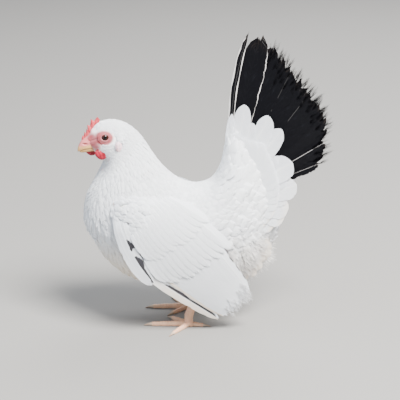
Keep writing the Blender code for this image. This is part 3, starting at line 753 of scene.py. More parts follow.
@dataclass(frozen=True)
class TailFeather(Feathered):
    """Black feathers with a fine white edge, grey streaks, and a white quill on some."""

    lace: Colour = (0.6, 0.58, 0.56)
    streak: Colour = (0.012, 0.013, 0.017)
    rust: Colour = (0.075, 0.05, 0.032)

    def wire(self, w: Wiring, shader: bpy.types.Node) -> None:
        """Wires colour from the edge, the quill and the streaks, bump and roughness from the barbs.

        Args:
            w: The material's wiring.
            shader: Its Principled node.
        """
        vane = self.vane(w)
        streak = w.out(vane, "Streak")
        greyed = w.mix(w.step(streak, 0.55, 0.85), self.colour, self.streak)
        worn = w.math("ADD", w.attribute("rust"), w.line(streak, 0.8, -0.4))
        rusted = w.mix(w.step(worn, 0.3, 0.9), greyed, self.rust)
        laced = w.line(w.attribute("lace"), 0.12, w.line(streak, 0.04, -0.02))
        edge = w.step(w.math("ADD", w.out(vane, "Edge"), laced), 1.0, 1.04)
        quill = w.times(w.step(w.out(vane, "Shaft"), 0.1, 0.6), w.attribute("quill"))
        colour = w.mix(quill, w.mix(edge, rusted, self.lace), self.lace)
        self.join(w, shader, colour, w.out(vane, "Height"), streak, 0.3, 0.15)


@dataclass(frozen=True)
class BareSkin(Finish):
    """Bare or thinly covered skin: comb, wattles, lobes, and the pink of the face."""

    flush: Colour = (0.7, 0.05, 0.06)
    pebble: float = 0.8
    flush_attribute: str = ""

    def wire(self, w: Wiring, shader: bpy.types.Node) -> None:
        """Wires colour from blotches and creases, bump from pebbles.

        Args:
            w: The material's wiring.
            shader: Its Principled node.
        """
        pebbles = w.node("ShaderNodeGroup", {"Size": self.pebble}, node_tree=pebble_group())
        blotch = w.step(w.out(pebbles, "Blotch"), 0.35, 0.7)
        if self.flush_attribute:
            share = w.times(w.attribute(self.flush_attribute), w.line(blotch, 0.06, 0.94))
            colour = w.mix(share, self.colour, self.flush)
        else:
            blotched = w.mix(blotch, self.colour, self.flush)
            colour = w.mix(w.times(w.out(pebbles, "Cracks"), 0.35), blotched, shaded(self.flush, 0.55))
        # Painted shadow: darker where the deep value is set, at the foot of the wattles.
        deep = w.mix(w.attribute("deep"), colour, shaded(self.flush, 0.4))
        self.join(w, shader, deep, w.out(pebbles, "Height"), w.out(pebbles, "Blotch"), 0.25, 0.12)


@dataclass(frozen=True)
class Horn(Finish):
    """Beak, claws and scaled legs: growth lines, and a second colour where the piece's mark is."""

    second: Colour = (0.5, 0.3, 0.2)
    lines: float = 900.0

    def wire(self, w: Wiring, shader: bpy.types.Node) -> None:
        """Wires colour from the mark and from noise, bump from growth lines.

        Args:
            w: The material's wiring.
            shader: Its Principled node.
        """
        place = w.place()
        blotch, grain = w.noise(place, 240.0, 4.0), w.noise(place, self.lines, 3.0)
        marked = w.mix(w.attribute("mark"), self.colour, self.second)
        varied = w.mix(w.times(w.step(blotch, 0.4, 0.75), 0.35), marked, shaded(self.second, 0.75))
        self.join(w, shader, varied, grain, grain, 0.3, 0.12)


@dataclass(frozen=True)
class EyeGlass(Finish):
    """An eye with its pupil, iris and dark rim, from rings round the way that it faces."""

    centre: tuple[float, float, float] = (0.0, 0.0, 0.0)
    facing: tuple[float, float, float] = (0.0, 1.0, 0.0)
    iris: Colour = (0.026, 0.006, 0.0025)
    rim: Colour = (0.03, 0.012, 0.008)
    pupil: Colour = (0.002, 0.002, 0.002)
    pupil_radius: float = 1.55 * MM
    iris_radius: float = 3.05 * MM

    def wire(self, w: Wiring, shader: bpy.types.Node) -> None:
        """Wires colour by the distance from the axis of sight.

        Args:
            w: The material's wiring.
            shader: Its Principled node.
        """
        off_axis = w.vector("CROSS_PRODUCT", w.vector("SUBTRACT", w.place(), self.centre), self.facing)
        away = w.vector("LENGTH", off_axis, key="Value")
        fibres = w.noise(w.vector("NORMALIZE", off_axis), 9.0, 4.0)
        iris = w.mix(fibres, shaded(self.iris, 0.45), shaded(self.iris, 1.5))
        outer = w.mix(w.step(away, self.iris_radius * 0.88, self.iris_radius), iris, self.rim)
        inside = w.step(away, self.pupil_radius * 1.06, self.pupil_radius * 0.94)
        w.feed(shader, "Base Color", w.mix(inside, outer, self.pupil))


@dataclass(frozen=True)
class PlainFloor(Finish):
    """The plain pale floor, with the faintest unevenness."""

    def wire(self, w: Wiring, shader: bpy.types.Node) -> None:
        """Wires nearly one colour, with soft cloudiness.

        Args:
            w: The material's wiring.
            shader: Its Principled node.
        """
        place = w.place()
        cloud = w.times(w.noise(place, 3.0), 0.06)
        self.join(w, shader, w.mix(cloud, self.colour, shaded(self.colour, 0.8)), w.noise(place, 900.0))


WHITE = (0.865, 0.895, 0.94)
GLOW = (0.9, 0.9, 1.0)
PLUMAGE = Plumage(
    "body_plumage", WHITE, roughness=0.72, specular=0.22, sheen=0.15, subsurface=0.35, subsurface_colour=GLOW,
    bump=0.25, bump_distance=0.00012,
)
FLIGHT_PLUMAGE = Plumage(
    "flight_plumage", WHITE, roughness=0.6, specular=0.3, sheen=0.1, subsurface=0.3, subsurface_colour=GLOW,
    bump=0.35, bump_distance=0.0001, barbs=150.0, slant=0.12,
)
COVERT_PLUMAGE = Plumage(
    "covert_plumage", WHITE, roughness=0.66, specular=0.25, sheen=0.12, subsurface=0.35, subsurface_colour=GLOW,
    bump=0.3, bump_distance=0.0001, barbs=90.0, slant=0.2,
)
TAIL_FEATHER = TailFeather(
    "black_plumage", (0.003, 0.003, 0.004), roughness=0.55, specular=0.05, bump=0.4,
    barbs=150.0, slant=0.16, shaft_width=0.032,
)
FACE_SKIN = BareSkin(
    "face_skin", (0.88, 0.84, 0.83), roughness=0.62, specular=0.3, subsurface=0.25, bump=0.5,
    flush=(0.34, 0.06, 0.07), pebble=0.9, flush_attribute="flush",
)
COMB_SKIN = BareSkin(
    "comb_skin", (0.52, 0.06, 0.072), roughness=0.5, specular=0.4, subsurface=0.25, bump=0.6, bump_distance=0.0004,
    flush=(0.37, 0.018, 0.03), pebble=0.9,
)
WATTLE_SKIN = BareSkin(
    "wattle_skin", (0.4, 0.01, 0.035), roughness=0.45, specular=0.45, subsurface=0.3, bump=0.6, bump_distance=0.0004,
    flush=(0.24, 0.003, 0.013), pebble=1.0,
)
LOBE_SKIN = BareSkin(
    "lobe_skin", (0.86, 0.68, 0.72), roughness=0.5, specular=0.4, subsurface=0.3, bump=0.5, bump_distance=0.0003,
    flush=(0.76, 0.5, 0.55), pebble=1.1,
)
BEAK_HORN = Horn(
    "beak_horn", (0.6, 0.35, 0.13), roughness=0.42, specular=0.45, coat=0.1, bump=0.2, second=(0.56, 0.16, 0.16)
)
CLAW_HORN = Horn(
    "claw_horn", (0.6, 0.45, 0.33), roughness=0.4, specular=0.45, coat=0.1, bump=0.2, second=(0.26, 0.16, 0.11)
)
LEG_SCALES = Horn(
    "leg_scales", (0.78, 0.5, 0.32), roughness=0.5, specular=0.4, subsurface=0.15, bump=0.4, second=(0.6, 0.27, 0.18)
)
FLOOR = PlainFloor("pale_floor", (0.25, 0.243, 0.23), roughness=0.75, specular=0.2, bump=0.1)


# The body


@dataclass(frozen=True)
class Trunk:
    """The form of head, neck and body, addressed by section from face to tail root and by angle round it."""

    # Back x, back z, belly x, belly z and half width of each section.
    sections: tuple = (
        (-117, 192, -105.5, 172.7, 5.5),
        (-114, 195, -103.5, 170.3, 8),
        (-110.5, 200, -101, 168.5, 10.5),
        (-105, 205.5, -99, 166.4, 12.7),
        (-98, 207.6, -97.5, 164.7, 14),
        (-89, 207.8, -97, 163, 14.8),
        (-79, 205, -98.5, 158.5, 16.5),
        (-69, 198.8, -103, 151.7, 18.5),
        (-60, 189.8, -108, 145.1, 21.5),
        (-52.5, 179, -113.5, 136, 26),
        (-45, 168.4, -117.5, 123.6, 31),
        (-37.5, 159.7, -118.5, 109.2, 36),
        (-29, 152.1, -114, 92.8, 41),
        (-20, 146.7, -105, 74.2, 45),
        (-11, 143.9, -89, 56, 47.5),
        (-3, 143.9, -67, 43.5, 48),
        (4, 146, -40, 37.7, 47),
        (10, 150.4, -10, 34.3, 45),
        (14.5, 157.6, 19, 37, 41),
        (17.5, 166.3, 46, 51, 35),
        (19.5, 176, 62, 73, 28),
        (21, 185.7, 72, 98, 21),
        (23, 196.4, 77, 121.7, 14),
        (25, 206, 74, 141, 9),
        (27, 216, 68, 160, 5),
    )
    head_end: float = 7
    neck_end: float = 10
    core_end: float = 23.5
    widest_below: float = 0.08
    head_turn: float = math.radians(15)
    head_pivot: float = -88 * MM
    # Steps of section and of angle that its slopes are taken over.
    nudges: tuple[float, float] = (0.03, 0.02)

    def head_share(self, at: Array) -> Array:
        """How much of the head's turn a section takes."""
        return 1 - ramp(self.head_end, self.neck_end, at)

    def turned(self, points: Array, share: object = 1.0) -> Array:
        """Points turned with the head about the upright line that it turns on.

        Args:
            points: The points.
            share: How much of the turn they take.

        Returns:
            The points, turned.
        """
        angle = self.head_turn * np.asarray(share, float)
        x, y = points[..., 0] - self.head_pivot, points[..., 1]
        cos, sin = np.cos(angle), np.sin(angle)
        return stacked(x * cos - y * sin + self.head_pivot, x * sin + y * cos, points[..., 2])

    def surface(
        self, at: object, around: object, grow: object = 0.0, deepen: float = 1.0, straight: bool = False
    ) -> Array:
        """Points of the form.

        Args:
            at: Section, from 0 at the face to 24 at the tail root.
            around: Angle from the back, towards the right side.
            grow: How far outside the form.
            deepen: How much the lower half is stretched.
            straight: Whether the head looks straight ahead instead.

        Returns:
            The points.
        """
        at, around, grow = np.broadcast_arrays(*(np.asarray(v, float) for v in (at, around, grow)))
        rows = smooth_curve(self.sections, at) * MM
        zero = np.zeros(at.shape)
        back, belly = stacked(rows[..., 0], zero, rows[..., 1]), stacked(rows[..., 2], zero, rows[..., 3])
        middle, rise = (back + belly) / 2, (back - belly) / 2
        height = np.cos(around) * (np.linalg.norm(rise, axis=-1) + grow)
        height = np.where(height < 0, height * deepen, height)
        width = np.sin(around) * (rows[..., 4] + grow) * (1 - self.widest_below * np.cos(around))
        points = middle + unit(rise) * height[..., None] + ACROSS * width[..., None]
        return points if straight else self.turned(points, self.head_share(at))

    def frames(self, at: Array, around: Array, grow: object) -> tuple[Array, Array, Array]:
        """Points of the form with their ways along it and out of it.

        Args:
            at: Sections.
            around: Angles from the back.
            grow: How far outside the form.

        Returns:
            The points, the ways towards the tail, and the ways out.
        """
        step, swing = self.nudges
        place = self.surface(at, around, grow)
        along = self.surface(at + step, around, grow) - self.surface(at - step, around, grow)
        round_ = self.surface(at, around + swing, grow) - self.surface(at, around - swing, grow)
        out = unit(np.cross(along, round_))
        side = np.sign(dot(out, place - self.surface(at, around, -3 * MM)))
        return place, unit(along), out * side[..., None]

    def tree(
        self, start: float, end: float, grow: float = 0.0, deepen: float = 1.0, straight: bool = False
    ) -> BVHTree:
        """The form between two sections, for looking up how far out it is.

        Args:
            start: The first section.
            end: The last section.
            grow: How far outside the form.
            deepen: How much the lower half is stretched.
            straight: Whether the head looks straight ahead instead.

        Returns:
            The form as a tree of its faces.
        """
        rows, columns = 60, 96
        at, around = grid(np.linspace(start, end, rows), turns(columns))
        points = self.surface(at, around, grow, deepen, straight).reshape(-1, 3)
        return BVHTree.FromPolygons(points.tolist(), grid_faces(rows, columns, wrapped=True).tolist())

    def on_head(self, x: float, z: float, outside: float, side: float) -> Array:
        """A place on the side of the head as it looks straight ahead.

        Args:
            x: Its x in millimetres.
            z: Its z in millimetres.
            outside: How far out of the skin it is, in millimetres.
            side: The side.

        Returns:
            The place in metres.
        """
        skin = self.tree(0, self.head_end, straight=True)
        return np.array((x * MM, side * (reach_across(skin, x, z) + outside * MM), z * MM))


TRUNK = Trunk()


def oval(ahead: Array, above: Array, spot: tuple[float, float, float, float]) -> Array:
    """How far places are from the middle of a spot.

    Args:
        ahead: How far ahead the places are.
        above: How far above.
        spot: Ahead and above of its middle, half length and half height, in millimetres.

    Returns:
        The distances as a share of the spot's size.
    """
    x, z, length, height = (number * MM for number in spot)
    return np.hypot((ahead - x) / length, (above - z) / height)


@dataclass(frozen=True)
class Face:
    """Where the bare parts of the head are, as spots ahead of and above the eyes of the solids."""

    eye_radius: float = 4.8 * MM
    eye_facing: tuple[float, float, float] = (-0.15, 1.0, 0.12)
    opening: tuple[float, float] = (3.75 * MM, 3.15 * MM)
    # Ring of the eye, lore and gape.
    bare_spots: tuple = ((1.0, -0.6, 10.5, 7.8), (10.5, -1.0, 8.5, 8), (9.5, -9.5, 5.5, 5))
    pink_lore: tuple[float, float, float, float] = (13, -3, 6, 7)
    pink_gape: tuple[float, float, float, float] = (8.4, -9.4, 5, 4.4)
    least_pink: float = 0.06
    # The foot of the comb: its middle ahead and above, in millimetres, and how far back and up it runs.
    comb_foot: tuple[float, float] = (17, 4.3)
    comb_way: tuple[float, float] = (0.54, 0.84)
    # The line towards the mouth: how far ahead of the eye it is as high as the eye, and how steeply it falls.
    fold_start: float = 5 * MM
    fold_fall: float = 0.42
    # How far inside the eye's middle its own side of the head ends, softly.
    own_side: tuple[float, float] = (-14 * MM, -9 * MM)

    def eye_axes(self, side: float) -> tuple[Array, Array, Array, Array]:
        """Where an eye is and how it lies.

        Args:
            side: The side.

        Returns:
            Its centre, the way it faces, and the ways forward and up across it.
        """
        low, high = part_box("eye_" + SIDE_NAMES[side])
        x, y, z = self.eye_facing
        pivot = np.array((TRUNK.head_pivot, 0, 0))
        facing = unit(TRUNK.turned(np.array((x, y * side, z)) + pivot) - pivot)
        up = unit(UP - facing * facing[2])
        return np.array((low + high) / 2), facing, unit(np.cross(up, facing) * side), up

    def from_eye(self, points: Array, side: float) -> tuple[Array, Array, Array]:
        """How far out of, ahead of and above the middle of an eye places are."""
        centre, facing, forward, up = self.eye_axes(side)
        return tuple(dot(points - centre, way) for way in (facing, forward, up))

    def from_comb_foot(self, ahead: Array, above: Array, length: float, width: float) -> Array:
        """How far places are from the middle of the slanting strip at the foot of the comb.

        Args:
            ahead: How far ahead of the eye the places are.
            above: How far above it.
            length: Half the strip's length in millimetres.
            width: Half its width in millimetres.

        Returns:
            The distances as a share of the strip's size.
        """
        ahead, above = (value - middle * MM for value, middle in zip((ahead, above), self.comb_foot))
        back, up = self.comb_way
        return oval(up * above - back * ahead, up * ahead + back * above, (0, 0, length, width))

    def over_fold(self, ahead: Array, above: Array) -> Array:
        """How far a place is above the line that runs from the eye down towards the mouth."""
        return above + self.fold_fall * (ahead - self.fold_start)

    def near(self, out: Array) -> Array:
        """1 on the eye's own side of the head and 0 on the other."""
        return ramp(*self.own_side, out)

    def bare(self, points: Array) -> Array:
        """How bare the skin is round the eye and towards the beak.

        Args:
            points: Places on the head.

        Returns:
            Values from 0 under feathers to 1.
        """
        bare = np.zeros(points.shape[:-1])
        for side in SIDE_NAMES:
            out, ahead, above = self.from_eye(points, side)
            shares = [oval(ahead, above, spot) for spot in self.bare_spots]
            shares.append(self.from_comb_foot(ahead, above, 7, 3.4))
            bare = np.maximum(bare, self.near(out) * (1 - ramp(0.78, 1.12, np.minimum.reduce(shares))))
        return bare

    def flush(self, points: Array) -> Array:
        """How pink the skin is: most beside the eye and along the line towards the beak.

        Args:
            points: Places on the head.

        Returns:
            Values up to 1.
        """
        pink = np.zeros(points.shape[:-1])
        for side in SIDE_NAMES:
            out, ahead, above = self.from_eye(points, side)
            ring = ramp(6.3 * MM, 9.8 * MM, np.hypot((ahead - 0.8 * MM) / 1.12, above + 0.3 * MM))
            lore = ramp(0.6, 1.5, oval(ahead, above, self.pink_lore))
            stripe = bell(self.over_fold(ahead, above), 2.4 * MM) * ramp(2 * MM, 7 * MM, ahead)
            gape = bell(oval(ahead, above, self.pink_gape))
            strip = 1 - ramp(0.5, 1.4, self.from_comb_foot(ahead, above, 6, 2.6))
            white = ring * lore * (1 - 0.3 * stripe) * (1 - gape) * (1 - 0.85 * strip)
            pink = np.maximum(pink, self.near(out) * (1 - white))
        return np.maximum(pink, self.least_pink)


FACE = Face()


@dataclass
class Skin:
    """One skin under the coat, over the head, body, wing roots and thighs, with lids and folds on the face."""

    rows_of_head: int = 150
    rows_of_body: int = 120
    columns: int = 176
    # Coat depth below the solids at some sections.
    depth: tuple = ((0, 0.15), (2, 0.4), (5, 0.8), (8, 1.6), (11, 2.4), (15, 2.8), (24, 2.6))
    # How far out of the eye's middle the skin lies, from the share of the eye's opening.
    lid_profile: tuple = (
        (0, 3.4), (0.75, 2.9), (0.96, 2.5), (1.06, 3.5), (1.25, 3.75), (1.5, 3.5), (1.75, 3.05), (2.1, 3.0),
    )
    thigh_radii: tuple[float, float] = (4.6 * MM, 11.5 * MM)

    def depth_at(self, at: Array) -> Array:
        """How far the skin lies inside the solids at a section."""
        return np.interp(at, *np.transpose(self.depth)) * MM

    def shaped_face(self, points: Array) -> Array:
        """The skin with its eye sockets, the swelling of the lids, and soft folds before and behind the eye.

        Args:
            points: The skin's points.

        Returns:
            The points, moved where the face is.
        """
        points = points.copy()
        for side in SIDE_NAMES:
            facing = FACE.eye_axes(side)[1]
            out, ahead, above = FACE.from_eye(points, side)
            across = np.hypot(ahead / FACE.opening[0], above / FACE.opening[1])
            aim = np.interp(across, *np.transpose(self.lid_profile)) * MM
            share = (1 - ramp(1.75, 2.3, across)) * (out > -1 * MM)
            points += facing * ((aim - out) * share)[..., None]
            wrinkle = np.sin(across * 14) * bell(across - 2.1, 0.5) * 0.12 * MM
            fold = bell(FACE.over_fold(ahead, above), 0.9 * MM) * ramp(5 * MM, 8 * MM, ahead)
            fold = fold * (1 - ramp(14 * MM, 18 * MM, ahead)) * -0.5 * MM
            points += facing * ((wrinkle + fold) * (out > -3 * MM))[..., None]
        return points

    def build(self, wings: list["Wing"]) -> bpy.types.Object:
        """The skin as one piece.

        Args:
            wings: The wings, whose fleshy part it holds.

        Returns:
            The piece.
        """
        head = np.linspace(0, TRUNK.head_end, self.rows_of_head, endpoint=False)
        body = np.linspace(TRUNK.head_end, TRUNK.core_end, self.rows_of_body)
        at, around = grid(np.concatenate([head, body]), turns(self.columns))
        points, faces, vane = tube(self.shaped_face(TRUNK.surface(at, around, -self.depth_at(at))))
        draft = Draft()
        draft.add(points, faces, vane, flush=FACE.flush(points) * (0.25 + 0.75 * FACE.bare(points)))
        for side in SIDE_NAMES:
            self.add_thigh(draft, side)
        for wing in wings:
            wing.flesh(draft)
        return draft.build("skin", FACE_SKIN.material())

    def add_thigh(self, draft: Draft, side: float) -> None:
        """Adds a thigh, from the shank up into the body.

        Args:
            draft: The skin's mesh.
            side: The side.
        """
        leg = Leg(side)
        low, high = self.thigh_radii
        steps = np.linspace(0, 1, 24)
        centres = leg.knee + (leg.thigh_top - leg.knee) * steps[:, None]
        draft.add(*tube(leg.rings(centres, (1 - steps) * low + steps * high, 40)), flush=0.1)


SKIN = Skin()


# The coat


class VaneShape(Enum):
    """The kinds of small feather."""

    PIN = "pin"
    ROUND = "round"
    HACKLE = "hackle"
    DOWN = "down"


@dataclass(frozen=True)
class SmallFeather:
    """A small feather one unit long and wide, which the coat repeats."""

    shape: VaneShape
    variant: int

    OUTLINES = {
        VaneShape.PIN: ((0, 0.35), (0.35, 0.9), (0.7, 0.9), (1, 0.2)),
        VaneShape.ROUND: ((0, 0.3), (0.2, 0.75), (0.5, 1), (0.75, 0.97), (0.92, 0.72), (1, 0.34)),
        VaneShape.HACKLE: ((0, 0.35), (0.25, 0.85), (0.55, 0.95), (0.8, 0.62), (1, 0.1)),
        VaneShape.DOWN: ((0, 0.3), (0.3, 0.7), (0.6, 0.7), (1, 0.2)),
    }
    GRIDS = {VaneShape.PIN: (4, 3), VaneShape.ROUND: (6, 7), VaneShape.HACKLE: (6, 5), VaneShape.DOWN: (4, 3)}
    BARBS = 13

    def build(self) -> bpy.types.Object:
        """Makes the feather, its root at the origin, along +Y and out along +Z.

        Returns:
            The feather as an object.
        """
        draw = np.random.default_rng(SEED + 10 * self.variant + list(VaneShape).index(self.shape))
        draft = Draft()
        rows, columns = self.GRIDS[self.shape]
        t, k = grid(np.linspace(0, 1, rows) ** 0.9, np.linspace(-1, 1, columns))
        width = outline_width(self.OUTLINES[self.shape], t) * (1 + draw.normal(0, 0.04, t.shape) * np.abs(k))
        ragged = draw.uniform(-1, 1, columns) * 0.035 * t**4
        y = t - 0.13 * k**2 * t**3 + ragged + 0.05 * np.abs(k) * (1 - t)
        x = 0.5 * k * width + 0.04 * draw.uniform(-1, 1) * t**2
        z = 0.13 * (t - t**2) - 0.05 * k**2 * t - 0.03 * t**4
        half = 0.009 * (1.05 - t) * (1 - 0.55 * np.abs(k)) + 0.0022
        if self.shape is VaneShape.DOWN:
            self.add_barbs(draft, draw)
        else:
            vane = np.stack([(k + 1) / 2, t], axis=-1)
            draft.add(*slab(stacked(x, y, z + half), stacked(x, y, z - half), vane))
        return draft.build(f"{self.shape.value}_{self.variant}", PLUMAGE.material())

    def add_barbs(self, draft: Draft, draw: np.random.Generator) -> None:
        """Adds loose curved barbs that spread from the quill.

        Args:
            draft: The feather's mesh.
            draw: Where the random numbers come from.
        """
        steps, corners, middle = np.linspace(0, 1, 5), turns(3), (self.BARBS - 1) / 2
        profile = stacked(np.cos(corners), 0, np.sin(corners) * 0.5)
        thick = 0.034 * (1 - 0.75 * steps) * (0.45 + steps * (1 - steps) * 2.6)
        for barb in range(self.BARBS):
            fan = math.radians(-42 + 84 * barb / (self.BARBS - 1) + draw.uniform(-4, 4))
            reach = 1 - 0.28 * abs(barb - middle) / middle + draw.uniform(-0.12, 0.04)
            curl = draw.uniform(-0.1, 0.12)
            start = draw.uniform(0.02, 0.3) * (1 - abs(barb - middle) / 8)
            y = start + (reach - start) * steps * math.cos(fan) ** 0.5
            x = np.sin(fan) * (reach - start) * steps**0.85 + 0.03 * np.sin(steps * 5 + barb)
            z = 0.12 * (steps - steps**2) + curl * steps**2
            points, faces, vane = tube(stacked(x, y, z)[:, None] + profile[None] * thick[:, None, None])
            draft.add(points, faces, np.stack([0.2 + 0.6 * vane[:, 0], vane[:, 1]], axis=-1))


class Chance(Enum):
    """The random values of a coat, each drawn apart from the others by its number."""

    SIDEWAYS = 1
    LIFT = 2
    LENGTH = 3
    WIDTH = 4
    HUE = 5
    KIND = 6


@dataclass(frozen=True)
class Coat:
    """A stretch of small feathers, scattered over a surface by Geometry Nodes."""

    name: str
    shape: VaneShape
    spacing: float
    spread: float = 0.2
    finish: Finish = PLUMAGE
    kinds: int = 4
    patch: float = 0.003
    seed: int = SEED

    def tree(self) -> bpy.types.NodeTree:
        """The node tree that all coats share.

        Returns:
            The tree, made once.
        """
        found = bpy.data.node_groups.get("Coat")
        if found:
            return found
        inputs = {
            "Geometry": ("NodeSocketGeometry", None),
            "Feathers": ("NodeSocketCollection", None),
            "Kinds": ("NodeSocketInt", 4),
            "Spacing": (NUMBER, 0.004),
            "Spread": (NUMBER, 0.2),
            "Patch": (NUMBER, 0.003),
            "Seed": ("NodeSocketInt", SEED),
            "Finish": ("NodeSocketMaterial", None),
        }
        tree, w, given, result = node_group("Coat", "GeometryNodeTree", inputs, {"Geometry": "NodeSocketGeometry"})
        seed, spacing = given.outputs["Seed"], given.outputs["Spacing"]

        def read(name: str, kind: str = "FLOAT") -> bpy.types.NodeSocket:
            """A named value of the surface."""
            return w.out(w.node("GeometryNodeInputNamedAttribute", {"Name": name}, data_type=kind))

        def drawn(chance: Chance, low: object, high: object, kind: str = "FLOAT") -> bpy.types.NodeSocket:
            """A random value between two."""
            inputs = {"Min": low, "Max": high, "Seed": w.math("ADD", seed, float(chance.value))}
            return w.out(w.node("FunctionNodeRandomValue", inputs, data_type=kind))

        def varied(name: str, chance: Chance, by: float) -> bpy.types.NodeSocket:
            """A named value of the surface, made up to a share smaller or larger by chance."""
            return w.times(read(name), drawn(chance, 1 - by, 1 + by))

        def stored(geometry: object, name: str, value: object, **settings: str) -> bpy.types.NodeSocket:
            """Geometry with a value kept on it."""
            inputs = {"Geometry": geometry, "Name": name, "Value": value}
            return w.out(w.node("GeometryNodeStoreNamedAttribute", inputs, **settings))

        crowding = 1.5
        scattering = {
            "Mesh": given.outputs["Geometry"],
            "Distance Min": spacing,
            "Density Max": w.math("DIVIDE", crowding, w.times(spacing, spacing)),
            "Density Factor": read("keep"),
            "Seed": seed,
        }
        scatter = w.node("GeometryNodeDistributePointsOnFaces", scattering, distribute_method="POISSON")
        lie, out = read("lie", "FLOAT_VECTOR"), read("out", "FLOAT_VECTOR")
        sideways = w.times(drawn(Chance.SIDEWAYS, -1.0, 1.0), given.outputs["Spread"])
        aside = w.scaled(w.vector("CROSS_PRODUCT", lie, out), sideways)
        rising = w.scaled(out, varied("lift", Chance.LIFT, 0.08))
        along = w.vector("ADD", lie, w.vector("ADD", aside, rising))
        turn = w.node("FunctionNodeAxesToRotation", {0: along, 1: out}, primary_axis="Y", secondary_axis="Z")
        length = varied("long", Chance.LENGTH, 0.14)
        size = {"X": varied("wide", Chance.WIDTH, 0.12), "Y": length, "Z": length}
        hue = drawn(Chance.HUE, 0.0, 1.0)
        spots = stored(scatter.outputs["Points"], "draw", hue, data_type="FLOAT", domain="POINT")
        feathers = {"Collection": given.outputs["Feathers"], "Separate Children": True}
        growing = {
            "Points": spots,
            "Instance": w.out(w.node("GeometryNodeCollectionInfo", feathers)),
            "Pick Instance": True,
            "Instance Index": drawn(Chance.KIND, 0, w.math("SUBTRACT", given.outputs["Kinds"], 1.0), "INT"),
            "Rotation": w.out(turn),
            "Scale": w.out(w.node("ShaderNodeCombineXYZ", size)),
        }
        grown = w.node("GeometryNodeInstanceOnPoints", growing)
        real = w.node("GeometryNodeRealizeInstances", {"Geometry": w.out(grown)})
        own = w.vector("ADD", read("Vane", "FLOAT_VECTOR"), (-0.5, -0.5, 0.0))
        place = w.vector("ADD", read("Unwrap", "FLOAT_VECTOR"), w.scaled(own, given.outputs["Patch"]))
        last = stored(w.out(real), "OFBake", place, data_type="FLOAT2", domain="CORNER")
        for name in ("Unwrap", "lie", "out", "lift", "long", "wide", "keep"):
            last = w.out(w.node("GeometryNodeRemoveAttribute", {"Geometry": last, "Name": name}))
        smooth = w.node("GeometryNodeSetShadeSmooth", {"Geometry": last})
        finish = w.node("GeometryNodeSetMaterial", {"Geometry": w.out(smooth), "Material": given.outputs["Finish"]})
        w.feed(result, "Geometry", w.out(finish))
        return tree

    def feathers(self) -> bpy.types.Collection:
        """The few kinds of feather that the coat repeats.

        Returns:
            Their collection, made once for each shape.
        """
        name = "feathers_" + self.shape.value
        found = bpy.data.collections.get(name)
        if found:
            return found
        made = bpy.data.collections.new(name)
        bpy.context.scene.collection.children.link(made)
        for variant in range(self.kinds):
            feather = SmallFeather(self.shape, variant).build()
            bpy.context.scene.collection.objects.unlink(feather)
            made.objects.link(feather)
        return made

    def grow(self, surface: "Surface") -> bpy.types.Object:
        """Grows the coat on a surface.

        Args:
            surface: Where it grows and how it lies.

        Returns:
            The coat as a plain mesh.
        """
        made = surface.build(self.name)
        step = made.modifiers.new("Coat", "NODES")
        step.node_group = self.tree()
        settings = {
            "Feathers": self.feathers(),
            "Kinds": self.kinds,
            "Spacing": self.spacing,
            "Spread": self.spread,
            "Patch": self.patch,
            "Seed": self.seed,
            "Finish": self.finish.material(),
        }
        for item in step.node_group.interface.items_tree:
            if item.name in settings and item.in_out == "INPUT":
                step[item.identifier] = settings[item.name]
        bpy.context.view_layer.update()
        graph = bpy.context.evaluated_depsgraph_get()
        mesh = bpy.data.meshes.new_from_object(made.evaluated_get(graph), depsgraph=graph)
        made.modifiers.clear()
        made.data = mesh
        return made


@dataclass
class Surface:
    """A grid of points that a coat grows on, with how its feathers lie there."""

    place: Array
    lie: Array
    out: Array
    unwrap: Array
    length: Array
    # The feathers' width as a share of their length.
    slim: Array | float
    lift: Array | float
    keep: Array | float = 1.0
    tint: Array | float = 0.0

    def build(self, name: str) -> bpy.types.Object:
        """The surface as an object, with its values on its points.

        Args:
            name: The object's name.

        Returns:
            The object.
        """
        rows, columns = self.place.shape[:2]
        mesh = bpy.data.meshes.new(name)
        mesh.from_pydata(self.place.reshape(-1, 3).tolist(), [], grid_faces(rows, columns).tolist())
        keep_map(mesh, "Unwrap", self.unwrap.reshape(-1, 2))
        wide = self.length * self.slim
        numbers = {"long": self.length, "wide": wide, "lift": self.lift, "keep": self.keep, "tint": self.tint}
        for key, value in {"lie": self.lie, "out": self.out}.items():
            keep_values(mesh, key, value.reshape(-1, 3))
        for key, value in numbers.items():
            keep_values(mesh, key, np.broadcast_to(np.asarray(value, float), (rows, columns)).ravel())
        return linked(name, mesh)


# Where the feathers of the tail and the down of the rear spread from, as x and z.
FAN_CENTRE = (24, 128)
FLUFF_CENTRE = (18, 100)


